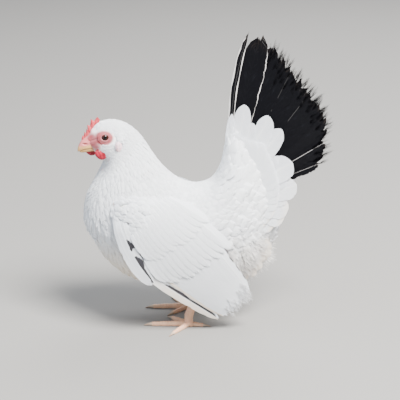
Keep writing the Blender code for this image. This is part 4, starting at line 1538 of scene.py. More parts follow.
@dataclass
class Stretch:
    """A stretch of head, neck or body that a coat grows on, between two sections and over an arc."""

    start: float
    end: float
    arc: tuple[float, float] = (0.0, FULL_TURN)
    steps: int = 110
    # How far inside the wing's edge nothing of the body shows, in millimetres.
    hidden: float = 15
    # Heights between which the lie turns to the fluff's centre, and sections over which it leaves the body's.
    turnover: tuple[float, float] = (140 * MM, 105 * MM)
    leaving: tuple[float, float] = (16.2, 18.5)

    def __post_init__(self) -> None:
        """Works out its places, how feathers lie there, and the depth of the coat."""
        self.at, self.around = grid(np.linspace(self.start, self.end, self.steps), np.linspace(*self.arc, self.steps))
        self.depth = SKIN.depth_at(self.at)
        self.place, lie, self.out = TRUNK.frames(self.at, self.around, -self.depth)
        self.x, self.y, self.z = np.moveaxis(self.place, -1, 0)
        self.lie = self.steered(lie)

    def steered(self, lie: Array) -> Array:
        """The lie of the coat: along the body, and at the rear away from where tail and fluff spread from.

        Args:
            lie: The ways along the body.

        Returns:
            The ways that the feathers take.
        """
        low = ramp(*self.turnover, self.z)
        x, z = (fan + (fluff - fan) * low for fan, fluff in zip(FAN_CENTRE, FLUFF_CENTRE))
        behind = np.maximum(self.x - x * MM, 0) + 14 * MM
        away = unit(stacked(behind, self.y * 0.4, self.z - z * MM))
        away = unit(away - self.out * dot(away, self.out)[..., None] * 0.9)
        share = ramp(*self.leaving, self.at)[..., None]
        return unit(lie * (1 - share) + away * share)

    def shown(self) -> Array:
        """Where the body shows beside a folded wing.

        Returns:
            1 where it shows and 0 well under the wing.
        """
        x, z = self.x / MM, self.z / MM
        polygon = np.concatenate([np.array(WING_LOWER), np.array(WING_UPPER)[::-1]])
        inside = np.zeros(x.shape, bool)
        nearest = np.full(x.shape, 1e9)
        for (x0, z0), (x1, z1) in zip(polygon, np.roll(polygon, -1, axis=0)):
            crosses = (z0 > z) != (z1 > z)
            inside ^= crosses & (x < x0 + (z - z0) * (x1 - x0) / (z1 - z0 if z1 != z0 else 1e-9))
            edge = np.array((x1 - x0, z1 - z0))
            t = np.clip(((x - x0) * edge[0] + (z - z0) * edge[1]) / max(edge @ edge, 1e-9), 0, 1)
            nearest = np.minimum(nearest, np.hypot(x - x0 - t * edge[0], z - z0 - t * edge[1]))
        return np.where(inside & (nearest > self.hidden), 0.0, 1.0)

    def rise(self, length: Array, share: float = 0.6) -> Array:
        """The lift that brings the tips of feathers up through a share of the coat's depth."""
        return share * self.depth / length

    def grow(self, coat: Coat, *measures: Array | float) -> bpy.types.Object:
        """Grows a coat on it, from length, width as a share of it, lift, how many are kept, and tint."""
        unwrap = np.stack([self.around / FULL_TURN, self.at / len(TRUNK.sections)], axis=-1)
        return coat.grow(Surface(self.place, self.lie, self.out, unwrap, *measures))


@dataclass
class BodyCoat:
    """The small feathers of head, neck and body in the stretches that differ."""

    # The ear's x, z and size in millimetres.
    ear: tuple[float, float, float] = (-85.5, 192.5, 3.2)
    # Half the angle left out below the back in front, half the back's angle, and the fluff's arc.
    front_gap: float = 0.62 * math.pi / 1.6
    back_half: float = 0.42 * math.pi
    fluff_arc: tuple[float, float] = (0.45 * math.pi, 1.55 * math.pi)

    def head(self) -> bpy.types.Object:
        """Tiny feathers close on the head, which leave the face and the foot of the comb bare.

        Returns:
            The coat.
        """
        s = Stretch(0.35, 7.6)
        x, z, size = self.ear
        ear = bell(np.hypot(s.x - x * MM, s.z - z * MM), size * MM)
        length = (2.4 + 3.6 * ramp(1, 6.5, s.at) + 2.5 * ear) * MM
        comb = bell(np.sin(s.around / 2) * 2 * 14, 2.2) * (1 - ramp(3.6, 4.2, s.at))
        keep = ramp(0.55, 0.15, FACE.bare(s.place)) * ramp(0.3, 1.0, s.at)
        keep = keep * (1 - np.clip(comb * 1.6, 0, 1)) * (1 - ramp(7.2, 7.6, s.at) * 0.4)
        lift = 0.1 + 0.08 * ramp(4, 7, s.at) + 0.45 * ear
        return s.grow(Coat("coat_head", VaneShape.PIN, 1.15 * MM, 0.35), length, 0.62, lift, keep, 0.03)

    def neck(self) -> bpy.types.Object:
        """The hackle, longer and narrower towards the breast.

        Returns:
            The coat.
        """
        s = Stretch(6.9, 12.2)
        length = (7 + 11 * ramp(6.9, 11.5, s.at)) * MM
        upper = 0.5 + 0.5 * np.cos(s.around)
        keep = 1 - ramp(10.2, 12.2, s.at) * (1 - 0.75 * upper)
        coat = Coat("coat_neck", VaneShape.HACKLE, 2.2 * MM, 0.16)
        return s.grow(coat, length, 0.42, s.rise(length) + 0.01, keep, 0.02)

    def front(self) -> bpy.types.Object:
        """The breast and belly.

        Returns:
            The coat.
        """
        s = Stretch(10.2, 17.2, (self.front_gap, 2 * math.pi - self.front_gap))
        length = (12 + 3 * ramp(10.5, 14, s.at)) * MM
        keep = ramp(10.1, 10.8, s.at) * s.shown()
        lift = s.rise(length) + 0.08 * ramp(75 * MM, 40 * MM, s.z)
        # Painted warm light bounced from the floor: cream growing towards the bottom of the breast.
        tint = 0.03 + 0.75 * ramp(115 * MM, 55 * MM, s.z)
        return s.grow(Coat("coat_front", VaneShape.ROUND, 3.3 * MM), length, 0.7, lift, keep, tint)

    def back(self) -> bpy.types.Object:
        """The back and the saddle.

        Returns:
            The coat.
        """
        s = Stretch(10.6, 18.4, (-self.back_half, self.back_half))
        length = (12 + 3 * ramp(11, 15, s.at)) * MM
        coat = Coat("coat_back", VaneShape.ROUND, 3.2 * MM, seed=SEED + 1)
        return s.grow(coat, length, 0.62, s.rise(length), ramp(10.6, 11.6, s.at), 0.02)

    def rear(self) -> bpy.types.Object:
        """The flanks and the root of the tail.

        Returns:
            The coat.
        """
        s = Stretch(16.6, 23.2)
        flank = ramp(84 * MM, 112 * MM, s.z) * ramp(3 * MM, 10 * MM, np.abs(s.y)) * (1 - ramp(20.3, 22, s.at))
        length = (12.5 + 10 * ramp(17, 19.5, s.at) * flank) * MM
        keep = ramp(16.6, 17.4, s.at) * s.shown()
        # Painted warm light bounced from the floor: cream growing towards the bottom of the flanks.
        tint = 0.03 + 0.2 * ramp(110 * MM, 50 * MM, s.z)
        coat = Coat("coat_rear", VaneShape.ROUND, 3.9 * MM, 0.14, seed=SEED + 2)
        return s.grow(coat, length, 0.6 + 0.12 * flank, s.rise(length, 0.5), keep, tint)

    def fluff(self) -> bpy.types.Object:
        """Loose down of the rear, which breaks the outline below the tail.

        Returns:
            The coat.
        """
        s = Stretch(16.0, 22.4, self.fluff_arc)
        notch = ramp(48 * MM, 62 * MM, s.x) * ramp(70 * MM, 84 * MM, s.z)
        length = (12 + 7 * ramp(17, 20, s.at)) * (1 - 0.5 * notch) * MM
        low = ramp(112 * MM, 84 * MM, s.z)
        keep = low * ramp(16.0, 18.5, s.at) * s.shown()
        lift = (0.26 + 0.2 * low) * (1 - 0.75 * notch)
        coat = Coat("coat_fluff", VaneShape.DOWN, 4.6 * MM, 0.5, seed=SEED + 3)
        # Painted warm light bounced from the floor: cream growing towards the bottom of the rear down.
        return s.grow(coat, length, 1.0, lift, keep, 0.25 * low + 0.05)

    def build(self) -> list[bpy.types.Object]:
        """All stretches."""
        return [self.head(), self.neck(), self.front(), self.back(), self.rear(), self.fluff()]


# Wings and tail

WING_LOWER = ((-92, 130), (-85, 112), (-76, 93), (-63, 74.5), (-48, 55), (-28, 37), (-6, 21.3), (17, 12.8))
WING_UPPER = ((-88, 139), (-63, 147), (-33, 145), (-3, 136), (19, 118), (35, 91), (44, 63.6), (46, 40))
LONG_VANE = ((0, 0.5), (0.3, 0.95), (0.65, 1), (0.86, 0.86), (0.95, 0.6), (1, 0.16))
ROUND_VANE = ((0, 0.6), (0.4, 1), (0.75, 0.98), (0.92, 0.72), (1, 0.25))
LOBE_VANE = ((0, 0.6), (0.35, 0.95), (0.68, 1), (0.84, 0.88), (0.93, 0.64), (0.98, 0.36), (1, 0.1))
TAIL_VANE = ((0, 0.4), (0.3, 0.8), (0.62, 1), (0.86, 0.94), (0.96, 0.66), (1, 0.2))
DOWNY_VANE = ((0, 0.6), (0.4, 1), (0.7, 1.05), (0.88, 0.8), (1, 0.3))
Patch = Callable[[Array, Array], tuple[Array, Array]]
# A value kept on a feather: one number, or how it changes along the feather and across it.
Mark = float | Callable[[Array, Array], Array]


@dataclass(frozen=True)
class LongFeathers:
    """Feathers side by side on a patch, each a step over its neighbour all along."""

    # The feathers' numbers on the patch, which may lie in between.
    numbers: tuple[float, ...]
    half_widths: tuple[float, ...]
    outline: tuple
    order: float
    rows: int = 34
    slope: float = 0.085
    camber: float = 0.35 * MM
    slant: float = 0.5
    splits: int = 2
    # The deepest gap as a share of the web, from the first feather to the last.
    deepest: tuple[float, ...] = (0.24,)
    reach: tuple[float, float] = (0.975, 1.0)
    edge: float = 0.09 * MM
    shaft: float = 0.4 * MM
    fray: float = 0.012
    # Whether a feather keeps its own length all across, instead of ending on the line of the tips.
    own_length: bool = False
    # The side of a feather's own square in the bake map.
    bake_size: float = 0.003
    COLUMNS = (-1, -0.94, -0.82, -0.62, -0.4, -0.22, -0.08, 0, 0.08, 0.22, 0.4, 0.62, 0.82, 0.94, 1)

    def ragged(self, t: Array, draw: np.random.Generator, deepest: float) -> Array:
        """The edge of a web along the feather, with a few gaps where its barbs have parted.

        Args:
            t: Shares of the feather's length.
            draw: Where the random numbers come from.
            deepest: The deepest gap, as a share of the web.

        Returns:
            The web's width there, as a share of its own.
        """
        edge = 1 + 0.015 * np.sin(t * draw.uniform(20, 40) + draw.uniform(0, 6)) + draw.normal(0, 0.006, len(t))
        for _ in range(self.splits):
            place, deep, wide = draw.uniform(0.35, 0.97), draw.uniform(0.15, 1) * deepest, draw.uniform(0.008, 0.025)
            edge = edge - deep * bell(t - place, wide)
        return edge

    def full_length(self, patch: Patch, number: Array) -> Array:
        """How long the patch is from root to tip at a feather's number."""
        root, tip = (patch(number, np.full_like(number, end))[0] for end in (0.0, 1.0))
        return np.linalg.norm(tip - root, axis=-1)

    def grow(
        self, draft: Draft, patch: Patch, draw: np.random.Generator, marks: Callable[[int], dict[str, "Mark"]]
    ) -> None:
        """Adds the feathers.

        Args:
            draft: The mesh that they go into.
            patch: Gives the place and the way out for a feather's number, also in between, and a share of its
                length.
            draw: Where the random numbers come from.
            marks: Gives the values kept on a feather, by its index.
        """
        t, k = 1 - (1 - np.linspace(0, 1, self.rows)) ** 1.15, np.array(self.COLUMNS)
        down, over = t[:, None], k[None]
        far = np.abs(over)
        for index, number in enumerate(self.numbers):
            wide = np.interp(index, range(len(self.half_widths)), self.half_widths) * MM * draw.uniform(0.97, 1.03)
            share = t * draw.uniform(*self.reach)
            before, after = (patch(np.array(number + step), share)[0] for step in (-0.5, 0.5))
            span = np.linalg.norm(after - before, axis=-1)
            length = self.full_length(patch, np.array([float(number)]))[0]
            deepest = np.interp(index, range(len(self.deepest)), self.deepest)
            webs = np.where(over < 0, *(self.ragged(t, draw, deepest)[:, None] for _ in range(2)))
            across = over * wide * outline_width(self.outline, t)[:, None] * (1 + (webs - 1) * far)
            forward = self.slant * np.abs(across) / length * (1 - down**3) * ramp(0, 0.1, t)[:, None]
            tip = draw.normal(0, self.fray, len(k))[None] * down**12
            here = number + across / span[:, None]
            reach = share[:, None] + forward + tip
            if self.own_length:
                reach = reach * length / self.full_length(patch, here)
            place, out = patch(here, reach)
            height = -self.slope * self.order * across + self.camber * (1 - over**2) * (1 - 0.6 * down)
            place = place + out * height[..., None]
            quill = self.shaft * bell(over, 0.09) * (1.05 - down)
            half = (self.edge * (1.25 - 0.25 * far) + quill) / 2
            vane = np.stack(np.broadcast_arrays((over + 1) / 2, down), axis=-1)
            points, faces, flat = slab(place + out * half[..., None], place - out * half[..., None], vane)
            values = {"draw": draw.uniform(0, 1), "tint": 0.0, "dark": 0.0, "grey": 0.0, **marks(index)}
            for key, value in values.items():
                if callable(value):
                    values[key] = np.tile(np.broadcast_to(value(down, over), place.shape[:2]).ravel(), 2)
            root = np.array((0.08 + 0.84 * index / len(self.numbers), 0.5))
            draft.add(points, faces, flat, root + (flat - 0.5) * self.bake_size, **values)


def feather_piece(
    name: str, tier: "WingTier | TailTier", patch: Patch, draw: np.random.Generator
) -> bpy.types.Object:
    """One tier of long feathers as a piece.

    Args:
        name: The piece's name.
        tier: The tier.
        patch: Where its feathers lie.
        draw: Where the random numbers come from.

    Returns:
        The piece.
    """
    draft = Draft()
    tier.feathers.grow(draft, patch, draw, tier.marks)
    return draft.build(name, tier.finish.material(), bake=True)


# How far across a feather its dark patches reach, from rows of share of length and place across: the dark slit of the
# inner webs, and the painted shadow behind the wing's front edge.
SLIT = ((0.3, -0.2), (0.38, 0.5), (0.56, 0.65), (0.64, 0.4), (0.72, 0.45), (0.8, 0.75), (0.94, 0.6), (1, 0))
# Painted shadow: the dark patches of the first front covert, where the wing's front edge stands off the breast.
FRONT_SHADOWS = (
    (0.26, -1.3), (0.3, -0.3), (0.39, 0.95), (0.43, 0.7), (0.46, -1.2), (0.5, -1.2),
    (0.54, 0.5), (0.6, 1.1), (0.66, 0.95), (0.72, 0.5), (0.9, 0.4), (1, 0.1),
)


def within(t: Array, k: Array, reach: tuple) -> Array:
    """1 where a place across a feather is within the reach given along it, with a soft border."""
    return ramp(0.22, -0.22, k - np.interp(t, *np.transpose(reach)))


@dataclass(frozen=True)
class WingTier:
    """One tier of a wing: its lines of roots and tips, first, middle and last, and its feathers."""

    name: str
    roots: tuple
    tips: tuple
    # The number of the last feather's line, and the lift at root and tip in millimetres.
    last: float
    lift: tuple[float, float]
    feathers: LongFeathers
    middles: tuple | None = None
    finish: Finish = COVERT_PLUMAGE

    def marks(self, index: int) -> dict[str, Mark]:
        """The values of a feather: dark inner webs on the foremost quills, a painted shadow in patches behind the
        front edge, and a painted bluish shade on the other front coverts.

        Args:
            index: The feather's index.

        Returns:
            The values by name.
        """
        if self.name == "flight" and index < 2:
            return {
                "dark": lambda t, k: ramp(0.0, 0.12, k) * within(t, k, SLIT),
                "tint": lambda t, k: (0.6 + 0.1 * index) * ramp(0.3, -0.3, k) * ramp(0.1, 0.5, t),
            }
        if self.name == "flight" and index == len(self.feathers.numbers) - 1:
            return {
                "dark": lambda t, k: (
                    ramp(0.72, 0.9, k) * ramp(0.42, 0.55, t) * (0.5 + 0.5 * ramp(-0.4, 0.2, np.sin(t * 46)))
                )
            }
        # Painted shadow in patches on the first front covert, behind the wing's front edge.
        if self.name == "front_covert" and index == 0:
            return {"dark": lambda t, k: within(t, k, FRONT_SHADOWS)}
        # Painted bluish shade: a little lavender grey on the other front coverts.
        return {"grey": 0.25 if self.name == "front_covert" else 0.0}


@dataclass
class Wing:
    """A folded wing that hangs low: its fleshy part, small coverts, and tiers of long feathers."""

    side: float
    proud: float = 5 * MM
    deepen: float = 2.0
    degree: int = 4
    core_front: tuple = ((-92, 128), (-88, 115), (-81.5, 98), (-73.5, 82), (-64, 68), (-53.5, 56))
    core_rear: tuple = ((-88, 139), (-66, 142), (-40, 139.5), (-15, 135), (4, 128), (13, 117))
    core_lift: tuple = (-2.4, 2.2, 4.8, 4.2, 1.5, -1.6)
    # How deep the roots of feathers are sunk, in millimetres, straight ones and bent ones, over a share of them.
    sunk: tuple[float, float] = (3.0, 5.5)
    sunk_share: float = 0.22
    tiers: tuple = (
        WingTier(
            "flight", ((-67.5, 75), (-40, 100), (-10, 121)), ((16.5, 11.5), (33.5, 24), (46.5, 41)), 9, (0, 0),
            LongFeathers(
                (0, 1.25, 1.7, 2.25, 2.8, 3.4, 4, 4.6, 5.2, 5.8, 6.4, 7, 7.6, 8.2, 8.7, 9),
                (6.2, 4.4, 4.8, 5.6, 6.2, 6.8, 7, 7, 7, 7, 7, 7, 7, 7, 6.6, 6.2), LONG_VANE, 1, rows=44, splits=3,
            ),
            finish=FLIGHT_PLUMAGE,
        ),
        WingTier(
            "greater_covert", ((-59.5, 88.5), (-41, 115), (-21, 131)), ((-34, 53), (-3, 64), (28, 88)), 12,
            (2.4, 0.9), LongFeathers(tuple(range(13)), (5.8,), ROUND_VANE, 1, rows=28, splits=3, reach=(0.9, 1.0)),
        ),
        WingTier(
            "median_covert", ((-71, 108.5), (-54, 128), (-34, 138)), ((-48, 78), (-22, 91), (7, 114)), 12,
            (4.2, 2.7), LongFeathers(tuple(range(13)), (5.2,), ROUND_VANE, 1, rows=24, splits=3, reach=(0.88, 1.0)),
        ),
        WingTier(
            "front_covert", ((-93, 125), (-88, 127.5), (-83, 130)), ((-50.5, 50.5), (-49.5, 53), (-48.5, 55.5)), 2,
            (2.7, 1.0), LongFeathers((2.3, 1.3, 1.1, 0.95), (5.0, 4.0, 4.2, 4.4), LONG_VANE, -1, rows=44),
            middles=((-77, 78.5), (-72.5, 81.5), (-68, 84.5)),
        ),
    )

    def __post_init__(self) -> None:
        """Fits the base surface, a polynomial for how far out the wing is at x and z."""
        former = TRUNK.tree(TRUNK.neck_end - 2, 21, self.proud, self.deepen)
        index, share = grid(np.linspace(0, len(WING_LOWER) - 1, 15), np.linspace(0, 1, 7))
        low, high = smooth_curve(WING_LOWER, index), smooth_curve(WING_UPPER, index)
        x, z = np.moveaxis((low + (high - low) * share[..., None]).reshape(-1, 2), -1, 0)
        reach = np.array([reach_across(former, *place) for place in zip(x, z)])
        self.weights = np.linalg.lstsq(self.terms(x, z), reach, rcond=None)[0]

    def terms(self, x: Array, z: Array) -> Array:
        """The polynomial's terms at some places.

        Args:
            x: Their x in millimetres.
            z: Their z in millimetres.

        Returns:
            The terms, along the last axis.
        """
        x, z = x * 0.01, z * 0.01
        powers = range(self.degree + 1)
        return np.stack([x**i * z**j for i in powers for j in powers if i + j <= self.degree], axis=-1)

    def over(self, x: Array, z: Array, lift: object) -> tuple[Array, Array]:
        """Places over the base surface.

        Args:
            x: Their x in millimetres.
            z: Their z in millimetres.
            lift: How far over it they are, in millimetres.

        Returns:
            The places in metres, and the ways out there.
        """
        base = self.terms(x, z) @ self.weights
        slope_x = ((self.terms(x + 1, z) - self.terms(x - 1, z)) @ self.weights) / (2 * MM)
        slope_z = ((self.terms(x, z + 1) - self.terms(x, z - 1)) @ self.weights) / (2 * MM)
        out = unit(stacked(-slope_x, 1.0, -slope_z))
        place = stacked(x * MM, base, z * MM) + out * (np.asarray(lift, float) * MM)[..., None]
        return place * (1, self.side, 1), out * (1, self.side, 1)

    def core(self, rows: int, columns: int, inset: float, depth: float = 0.0) -> tuple[Array, Array, Array, Array]:
        """A grid over the fleshy part from wrist to quills and from its front to its rear edge.

        Args:
            rows: Points from wrist to quills.
            columns: Points across.
            inset: How far inside the solids' surface it lies, in millimetres.
            depth: How far under the base surface instead, in millimetres, or 0.

        Returns:
            Places, ways out, and the grids of the share along and across.
        """
        at, share = grid(np.linspace(0, 1, rows), np.linspace(0, 1, columns))
        index = at * (len(self.core_front) - 1)
        front, rear = smooth_curve(self.core_front, index), smooth_curve(self.core_rear, index)
        x, z = np.moveaxis(front + (rear - front) * share[..., None], -1, 0)
        rounded = np.maximum(np.sin(math.pi * share), 0) ** (0.4 + 0.5 * share)
        lift = smooth_curve(self.core_lift, index) * rounded - (3 + 4 * share) * (1 - rounded) - inset
        place, out = self.over(x, z, -depth * (0.6 + 0.4 * rounded) if depth else lift)
        return place, out, at, share

    def flesh(self, draft: Draft) -> None:
        """Adds the fleshy part to the skin."""
        outer, inner = self.core(30, 26, 3.0)[0], self.core(30, 26, 0, 10)[0]
        draft.add(*tube(np.concatenate([outer, inner[:, ::-1]], axis=1)), flush=0.0)

    def small_coverts(self) -> bpy.types.Object:
        """The small feathers of the shoulder, behind the long ones of the front edge.

        Returns:
            The coat.
        """
        place, out, at, share = self.core(70, 60, 1.6)
        length = (9 + 6 * ramp(0.1, 0.7, at)) * MM
        behind = ramp(0.14, 0.2, share + 0.3 * ramp(0.26, 0.12, at))
        keep = (1 - ramp(0.86, 0.98, at)) * behind
        unwrap = np.stack([share, at], axis=-1)
        surface = Surface(place, unit(np.gradient(place, axis=0)), out, unwrap, length, 0.62, 0.05, keep)
        name = f"coat_wing_{SIDE_NAMES[self.side]}"
        return Coat(name, VaneShape.ROUND, 2.9 * MM, 0.14, seed=SEED + 4).grow(surface)

    def patch(self, tier: WingTier) -> Patch:
        """Where the feathers of a tier lie on the wing.

        Args:
            tier: The tier.

        Returns:
            The function of number and share.
        """

        def place(number: Array, share: Array) -> tuple[Array, Array]:
            """Places between the tier's lines of roots and tips, bent over its middles where it has them.

            Args:
                number: The feathers' numbers.
                share: The shares of their length.

            Returns:
                The places in metres, and the ways out there.
            """
            across, share = number / tier.last, np.asarray(share, float)
            root, tip = bend(tier.roots, across), bend(tier.tips, across)
            line = root + (tip - root) * share[..., None]
            if tier.middles:
                middle = bend(tier.middles, across)
                line = line + (4 * share * (1 - share))[..., None] * (middle - (root + tip) / 2)
            x, z = np.moveaxis(line, -1, 0)
            low, high = tier.lift
            deep = self.sunk[bool(tier.middles)] * ramp(self.sunk_share, 0, share)
            return self.over(x, z, low + (high - low) * share**2 - deep + 0 * x)

        return place

    def fringe(self) -> bpy.types.Object:
        """Loose down over the tips of the flight feathers and behind them.

        Returns:
            The coat.
        """
        number, share = grid(np.linspace(2.6, 9.1, 50), np.linspace(0.8, 0.99, 24))
        place, out = self.patch(self.tiers[0])(number, share)
        lie = unit(np.gradient(place, axis=1))
        length = (8 + 3 * ramp(4, 8, number)) * MM
        unwrap = np.stack([number / 10, share], axis=-1)
        surface = Surface(
            place + out * 0.3 * MM, lie, out, unwrap, length, 0.5, 0.04, ramp(0.8, 0.92, share), 0.12
        )
        name = f"wing_fringe_{SIDE_NAMES[self.side]}"
        return Coat(name, VaneShape.DOWN, 2.5 * MM, 0.3, seed=SEED + 7).grow(surface)

    def build(self) -> list[bpy.types.Object]:
        """The small coverts, all tiers and the fringe.

        Returns:
            The pieces.
        """
        pieces = [self.small_coverts()]
        for tier in self.tiers:
            draw = np.random.default_rng(SEED + len(tier.name))
            pieces.append(feather_piece(f"{tier.name}s_{SIDE_NAMES[self.side]}", tier, self.patch(tier), draw))
        return pieces + [self.fringe()]


@dataclass(frozen=True)
class TailTier:
    """One tier of the tail: rays of angle from upright and length, where they start, and their feathers."""

    name: str
    rays: tuple
    start: float
    lift: float
    feathers: LongFeathers
    finish: Finish = COVERT_PLUMAGE
    # How far the first feather is bent ahead of its ray, in millimetres.
    lean: float = 0.0

    def marks(self, index: int) -> dict[str, Mark]:
        """Lace, quill and rust of the black feathers, the warm hue of the lowest white ones, and a painted bluish
        shade at the tips of the upper long coverts.

        Args:
            index: The feather's index.

        Returns:
            The values by name.
        """
        number = self.feathers.numbers[index]
        if self.name == "fan":
            lace = {0: 3.2, 0.5: 0.75}.get(number, 0.0)
            front = 2 * (number == 0)
            return {
                "lace": lambda t, k: (
                    lace * (0.72 + 0.28 * np.sin(t * 23 + 2 * k)) * ramp(-0.2, 0.3, k + front)
                    * (1 - 0.8 * ramp(0.9, 0.96, t))
                ),
                "quill": {0: 0.22, 2: 0.05, 3: 0.07, 5: 0.7, 6: 0.8}.get(number, 0.0),
                "rust": lambda t, k: 0.35 * ramp(0.8, 1.0, t),
            }
        angle = self.rays[int(number)][0]
        warm = np.interp(angle, (70, 95, 140), (0.0, 0.4, 0.8))
        # Painted bluish shade: lavender grey towards the tips of the long coverts, most on the upper ones.
        grey = np.interp(angle, (60, 95), (0.55, 0.15)) if self.name == "long_coverts" else 0.0
        return {"tint": lambda t, k: warm * ramp(0.6, 1.0, t), "grey": lambda t, k: grey * ramp(0.5, 0.8, t)}


def between(start: float, end: float, count: int) -> tuple[float, ...]:
    """Evenly spaced feather numbers."""
    return tuple(np.linspace(start, end, count).tolist())


@dataclass
class Tail:
    """The upright tail: black feathers in a fan on both sides, with white coverts over their feet."""

    tiers: tuple = (
        TailTier(
            "fan", ((6.6, 164), (16.4, 159), (25.5, 144), (36.5, 133.5), (48, 127), (58, 112), (67, 99)), 42, 0,
            LongFeathers(
                between(0, 6, 13), (3.8, 12, 12, 10, 12, 10, 12, 10, 12, 7.5, 10, 6, 5.5), TAIL_VANE, -1, rows=96,
                slope=0.075, splits=16, deepest=(0.015, 0.06, 0.1), slant=0.9, shaft=0.5 * MM, edge=0.12 * MM,
                reach=(0.955, 1.0), fray=0.02, own_length=True,
            ),
            TAIL_FEATHER,
            lean=6,
        ),
        TailTier(
            "long_coverts",
            (
                (3, 86), (10.4, 97), (18, 82), (25.5, 95), (36.5, 89.5), (48, 66), (58.5, 75.5), (68, 63), (77, 70.5),
                (87, 60), (96, 61.5), (108, 59), (119, 53), (131, 49),
            ),
            34,
            2.4,
            LongFeathers(
                tuple(range(14)), (6, 8.5, 8, 9.5, 11.5, 9, 11.5, 9, 10.5, 9, 10, 10, 9, 8), LOBE_VANE, -1,
                rows=40, splits=2, deepest=(0.1,), slant=0.35, fray=0.005, own_length=True,
            ),
        ),
        TailTier(
            "short_coverts",
            ((8, 68), (18, 66), (30, 68), (42, 62), (54, 58), (66, 55), (78, 53), (92, 50), (106, 47), (118, 44)),
            32,
            4.2,
            LongFeathers(
                between(0, 9, 14), (8.5,), LOBE_VANE, -1,
                rows=30, splits=2, deepest=(0.1,), slant=0.35, own_length=True,
            ),
        ),
    )
    # The tent's half width at the feet and at the tips, from a number and a slope over the angle, and its most.
    root_y: tuple[float, float] = (3, 0.11)
    tip_y: tuple[float, float, float] = (-0.6, 0.23, 16)
    narrows: tuple[float, float] = (40, 100)

    def patch(self, tier: TailTier, side: float) -> Patch:
        """Where feathers lie on one side of the tail, as a tent narrow in front and wider at the rear.

        Args:
            tier: The tier.
            side: The side.

        Returns:
            The function of number and share.
        """

        def place(number: Array, share: Array) -> tuple[Array, Array]:
            """Places on the tent and the way out.

            Args:
                number: The feathers' numbers.
                share: The shares of their length.

            Returns:
                The places in metres, and the ways out there.
            """
            angle, length = np.moveaxis(smooth_curve(tier.rays, number), -1, 0)
            far = tier.start + (length - tier.start) * share
            narrowed = np.clip((far - self.narrows[0]) / self.narrows[1], 0, 1)
            root = self.root_y[0] + self.root_y[1] * angle
            tip = np.minimum(self.tip_y[0] + self.tip_y[1] * angle, self.tip_y[2])
            y = tip + (root - tip) * (1 - narrowed) ** 2 + tier.lift
            turn = np.radians(angle)
            x, z = FAN_CENTRE[0] + far * np.sin(turn), FAN_CENTRE[1] + far * np.cos(turn)
            x = x - tier.lean * np.clip(1 - number, 0, 1.5) * 4 * share * (1 - share)
            points = stacked(x, side * y, z) * MM
            return points, np.broadcast_to(ACROSS * side, points.shape)

        return place

    def build(self) -> list[bpy.types.Object]:
        """All tiers of both sides.

        Returns:
            The pieces.
        """
        pieces = []
        for side, name in SIDE_NAMES.items():
            draw = np.random.default_rng(SEED + (side > 0))
            for tier in self.tiers:
                pieces.append(feather_piece(f"tail_{tier.name}_{name}", tier, self.patch(tier, side), draw))
            pieces.append(self.wisps(side))
        return pieces

    def wisps(self, side: float) -> bpy.types.Object:
        """Loose black barbs that blur the ends of the fan.

        Args:
            side: The side.

        Returns:
            The coat.
        """
        number, share = grid(np.linspace(0.9, 6.3, 60), np.linspace(0.66, 0.97, 30))
        place, out = self.patch(self.tiers[0], side)(number, share)
        lie = unit(np.gradient(place, axis=1))
        unwrap = np.stack([number / 7, share], axis=-1)
        surface = Surface(
            place + out * 0.1 * MM, lie, out, unwrap, (11 + 4 * share) * MM, 0.3, 0.03, ramp(0.7, 0.9, share)
        )
        name = f"fan_wisps_{SIDE_NAMES[side]}"
        return Coat(name, VaneShape.DOWN, 4.2 * MM, 0.22, TAIL_FEATHER, seed=SEED + 9).grow(surface)


@dataclass
class Fluff:
    """The long soft feathers of the rear, whose tips make the ragged lobes under the tail."""

    rays: tuple = ((92, 46), (101, 48), (113, 55), (126, 57.5), (140, 59), (154, 60))
    start: float = 22
    root_y: float = 17
    tip_y: float = 15.5
    rows_across: tuple = (1.02, 0.62, 0.2)
    feathers: LongFeathers = LongFeathers(
        between(0, 5, 9), (7.5,), DOWNY_VANE, 1, rows=30, splits=9, deepest=(0.34,), slant=0.6, camber=0.8 * MM,
        reach=(0.9, 1.03), shaft=0.15 * MM,
    )

    def build(self) -> list[bpy.types.Object]:
        """The feathers of both sides.

        Returns:
            The pieces.
        """
        pieces = []
        for side, name in SIDE_NAMES.items():
            draft, draw = Draft(), np.random.default_rng(SEED + 8)
            for across in self.rows_across:
                self.feathers.grow(draft, self.patch(side, across), draw, self.marks)
            pieces.append(draft.build(f"rear_feathers_{name}", COVERT_PLUMAGE.material(), bake=True))
        return pieces

    def marks(self, index: int) -> dict[str, Mark]:
        """Warm cream towards the tips."""
        return {"tint": lambda t, k: 0.12 + 0.5 * ramp(0.45, 1.0, t)}

    def patch(self, side: float, across: float) -> Patch:
        """A row of feathers that curves round the rear, from its side towards its middle.

        Args:
            side: The side.
            across: How far towards the side the row is.

        Returns:
            The function of number and share.
        """

        def place(number: Array, share: Array) -> tuple[Array, Array]:
            """Places of the row and the way out.

            Args:
                number: The feathers' numbers.
                share: The shares of their length.

            Returns:
                The places in metres, and the ways out there.
            """
            angle, length = np.moveaxis(smooth_curve(self.rays, number), -1, 0)
            far = self.start + (length - self.start) * share
            turn = np.radians(angle)
            y = (self.root_y + (self.tip_y - self.root_y) * share) * across
            away = stacked(np.sin(turn), 0, np.cos(turn))
            points = stacked(FLUFF_CENTRE[0], 0, FLUFF_CENTRE[1]) + away * far[..., None]
            out = unit(ACROSS * side * across + away * (1.05 - across) * 0.8)
            return (points + ACROSS * (side * y)[..., None]) * MM, out

        return place


# Head


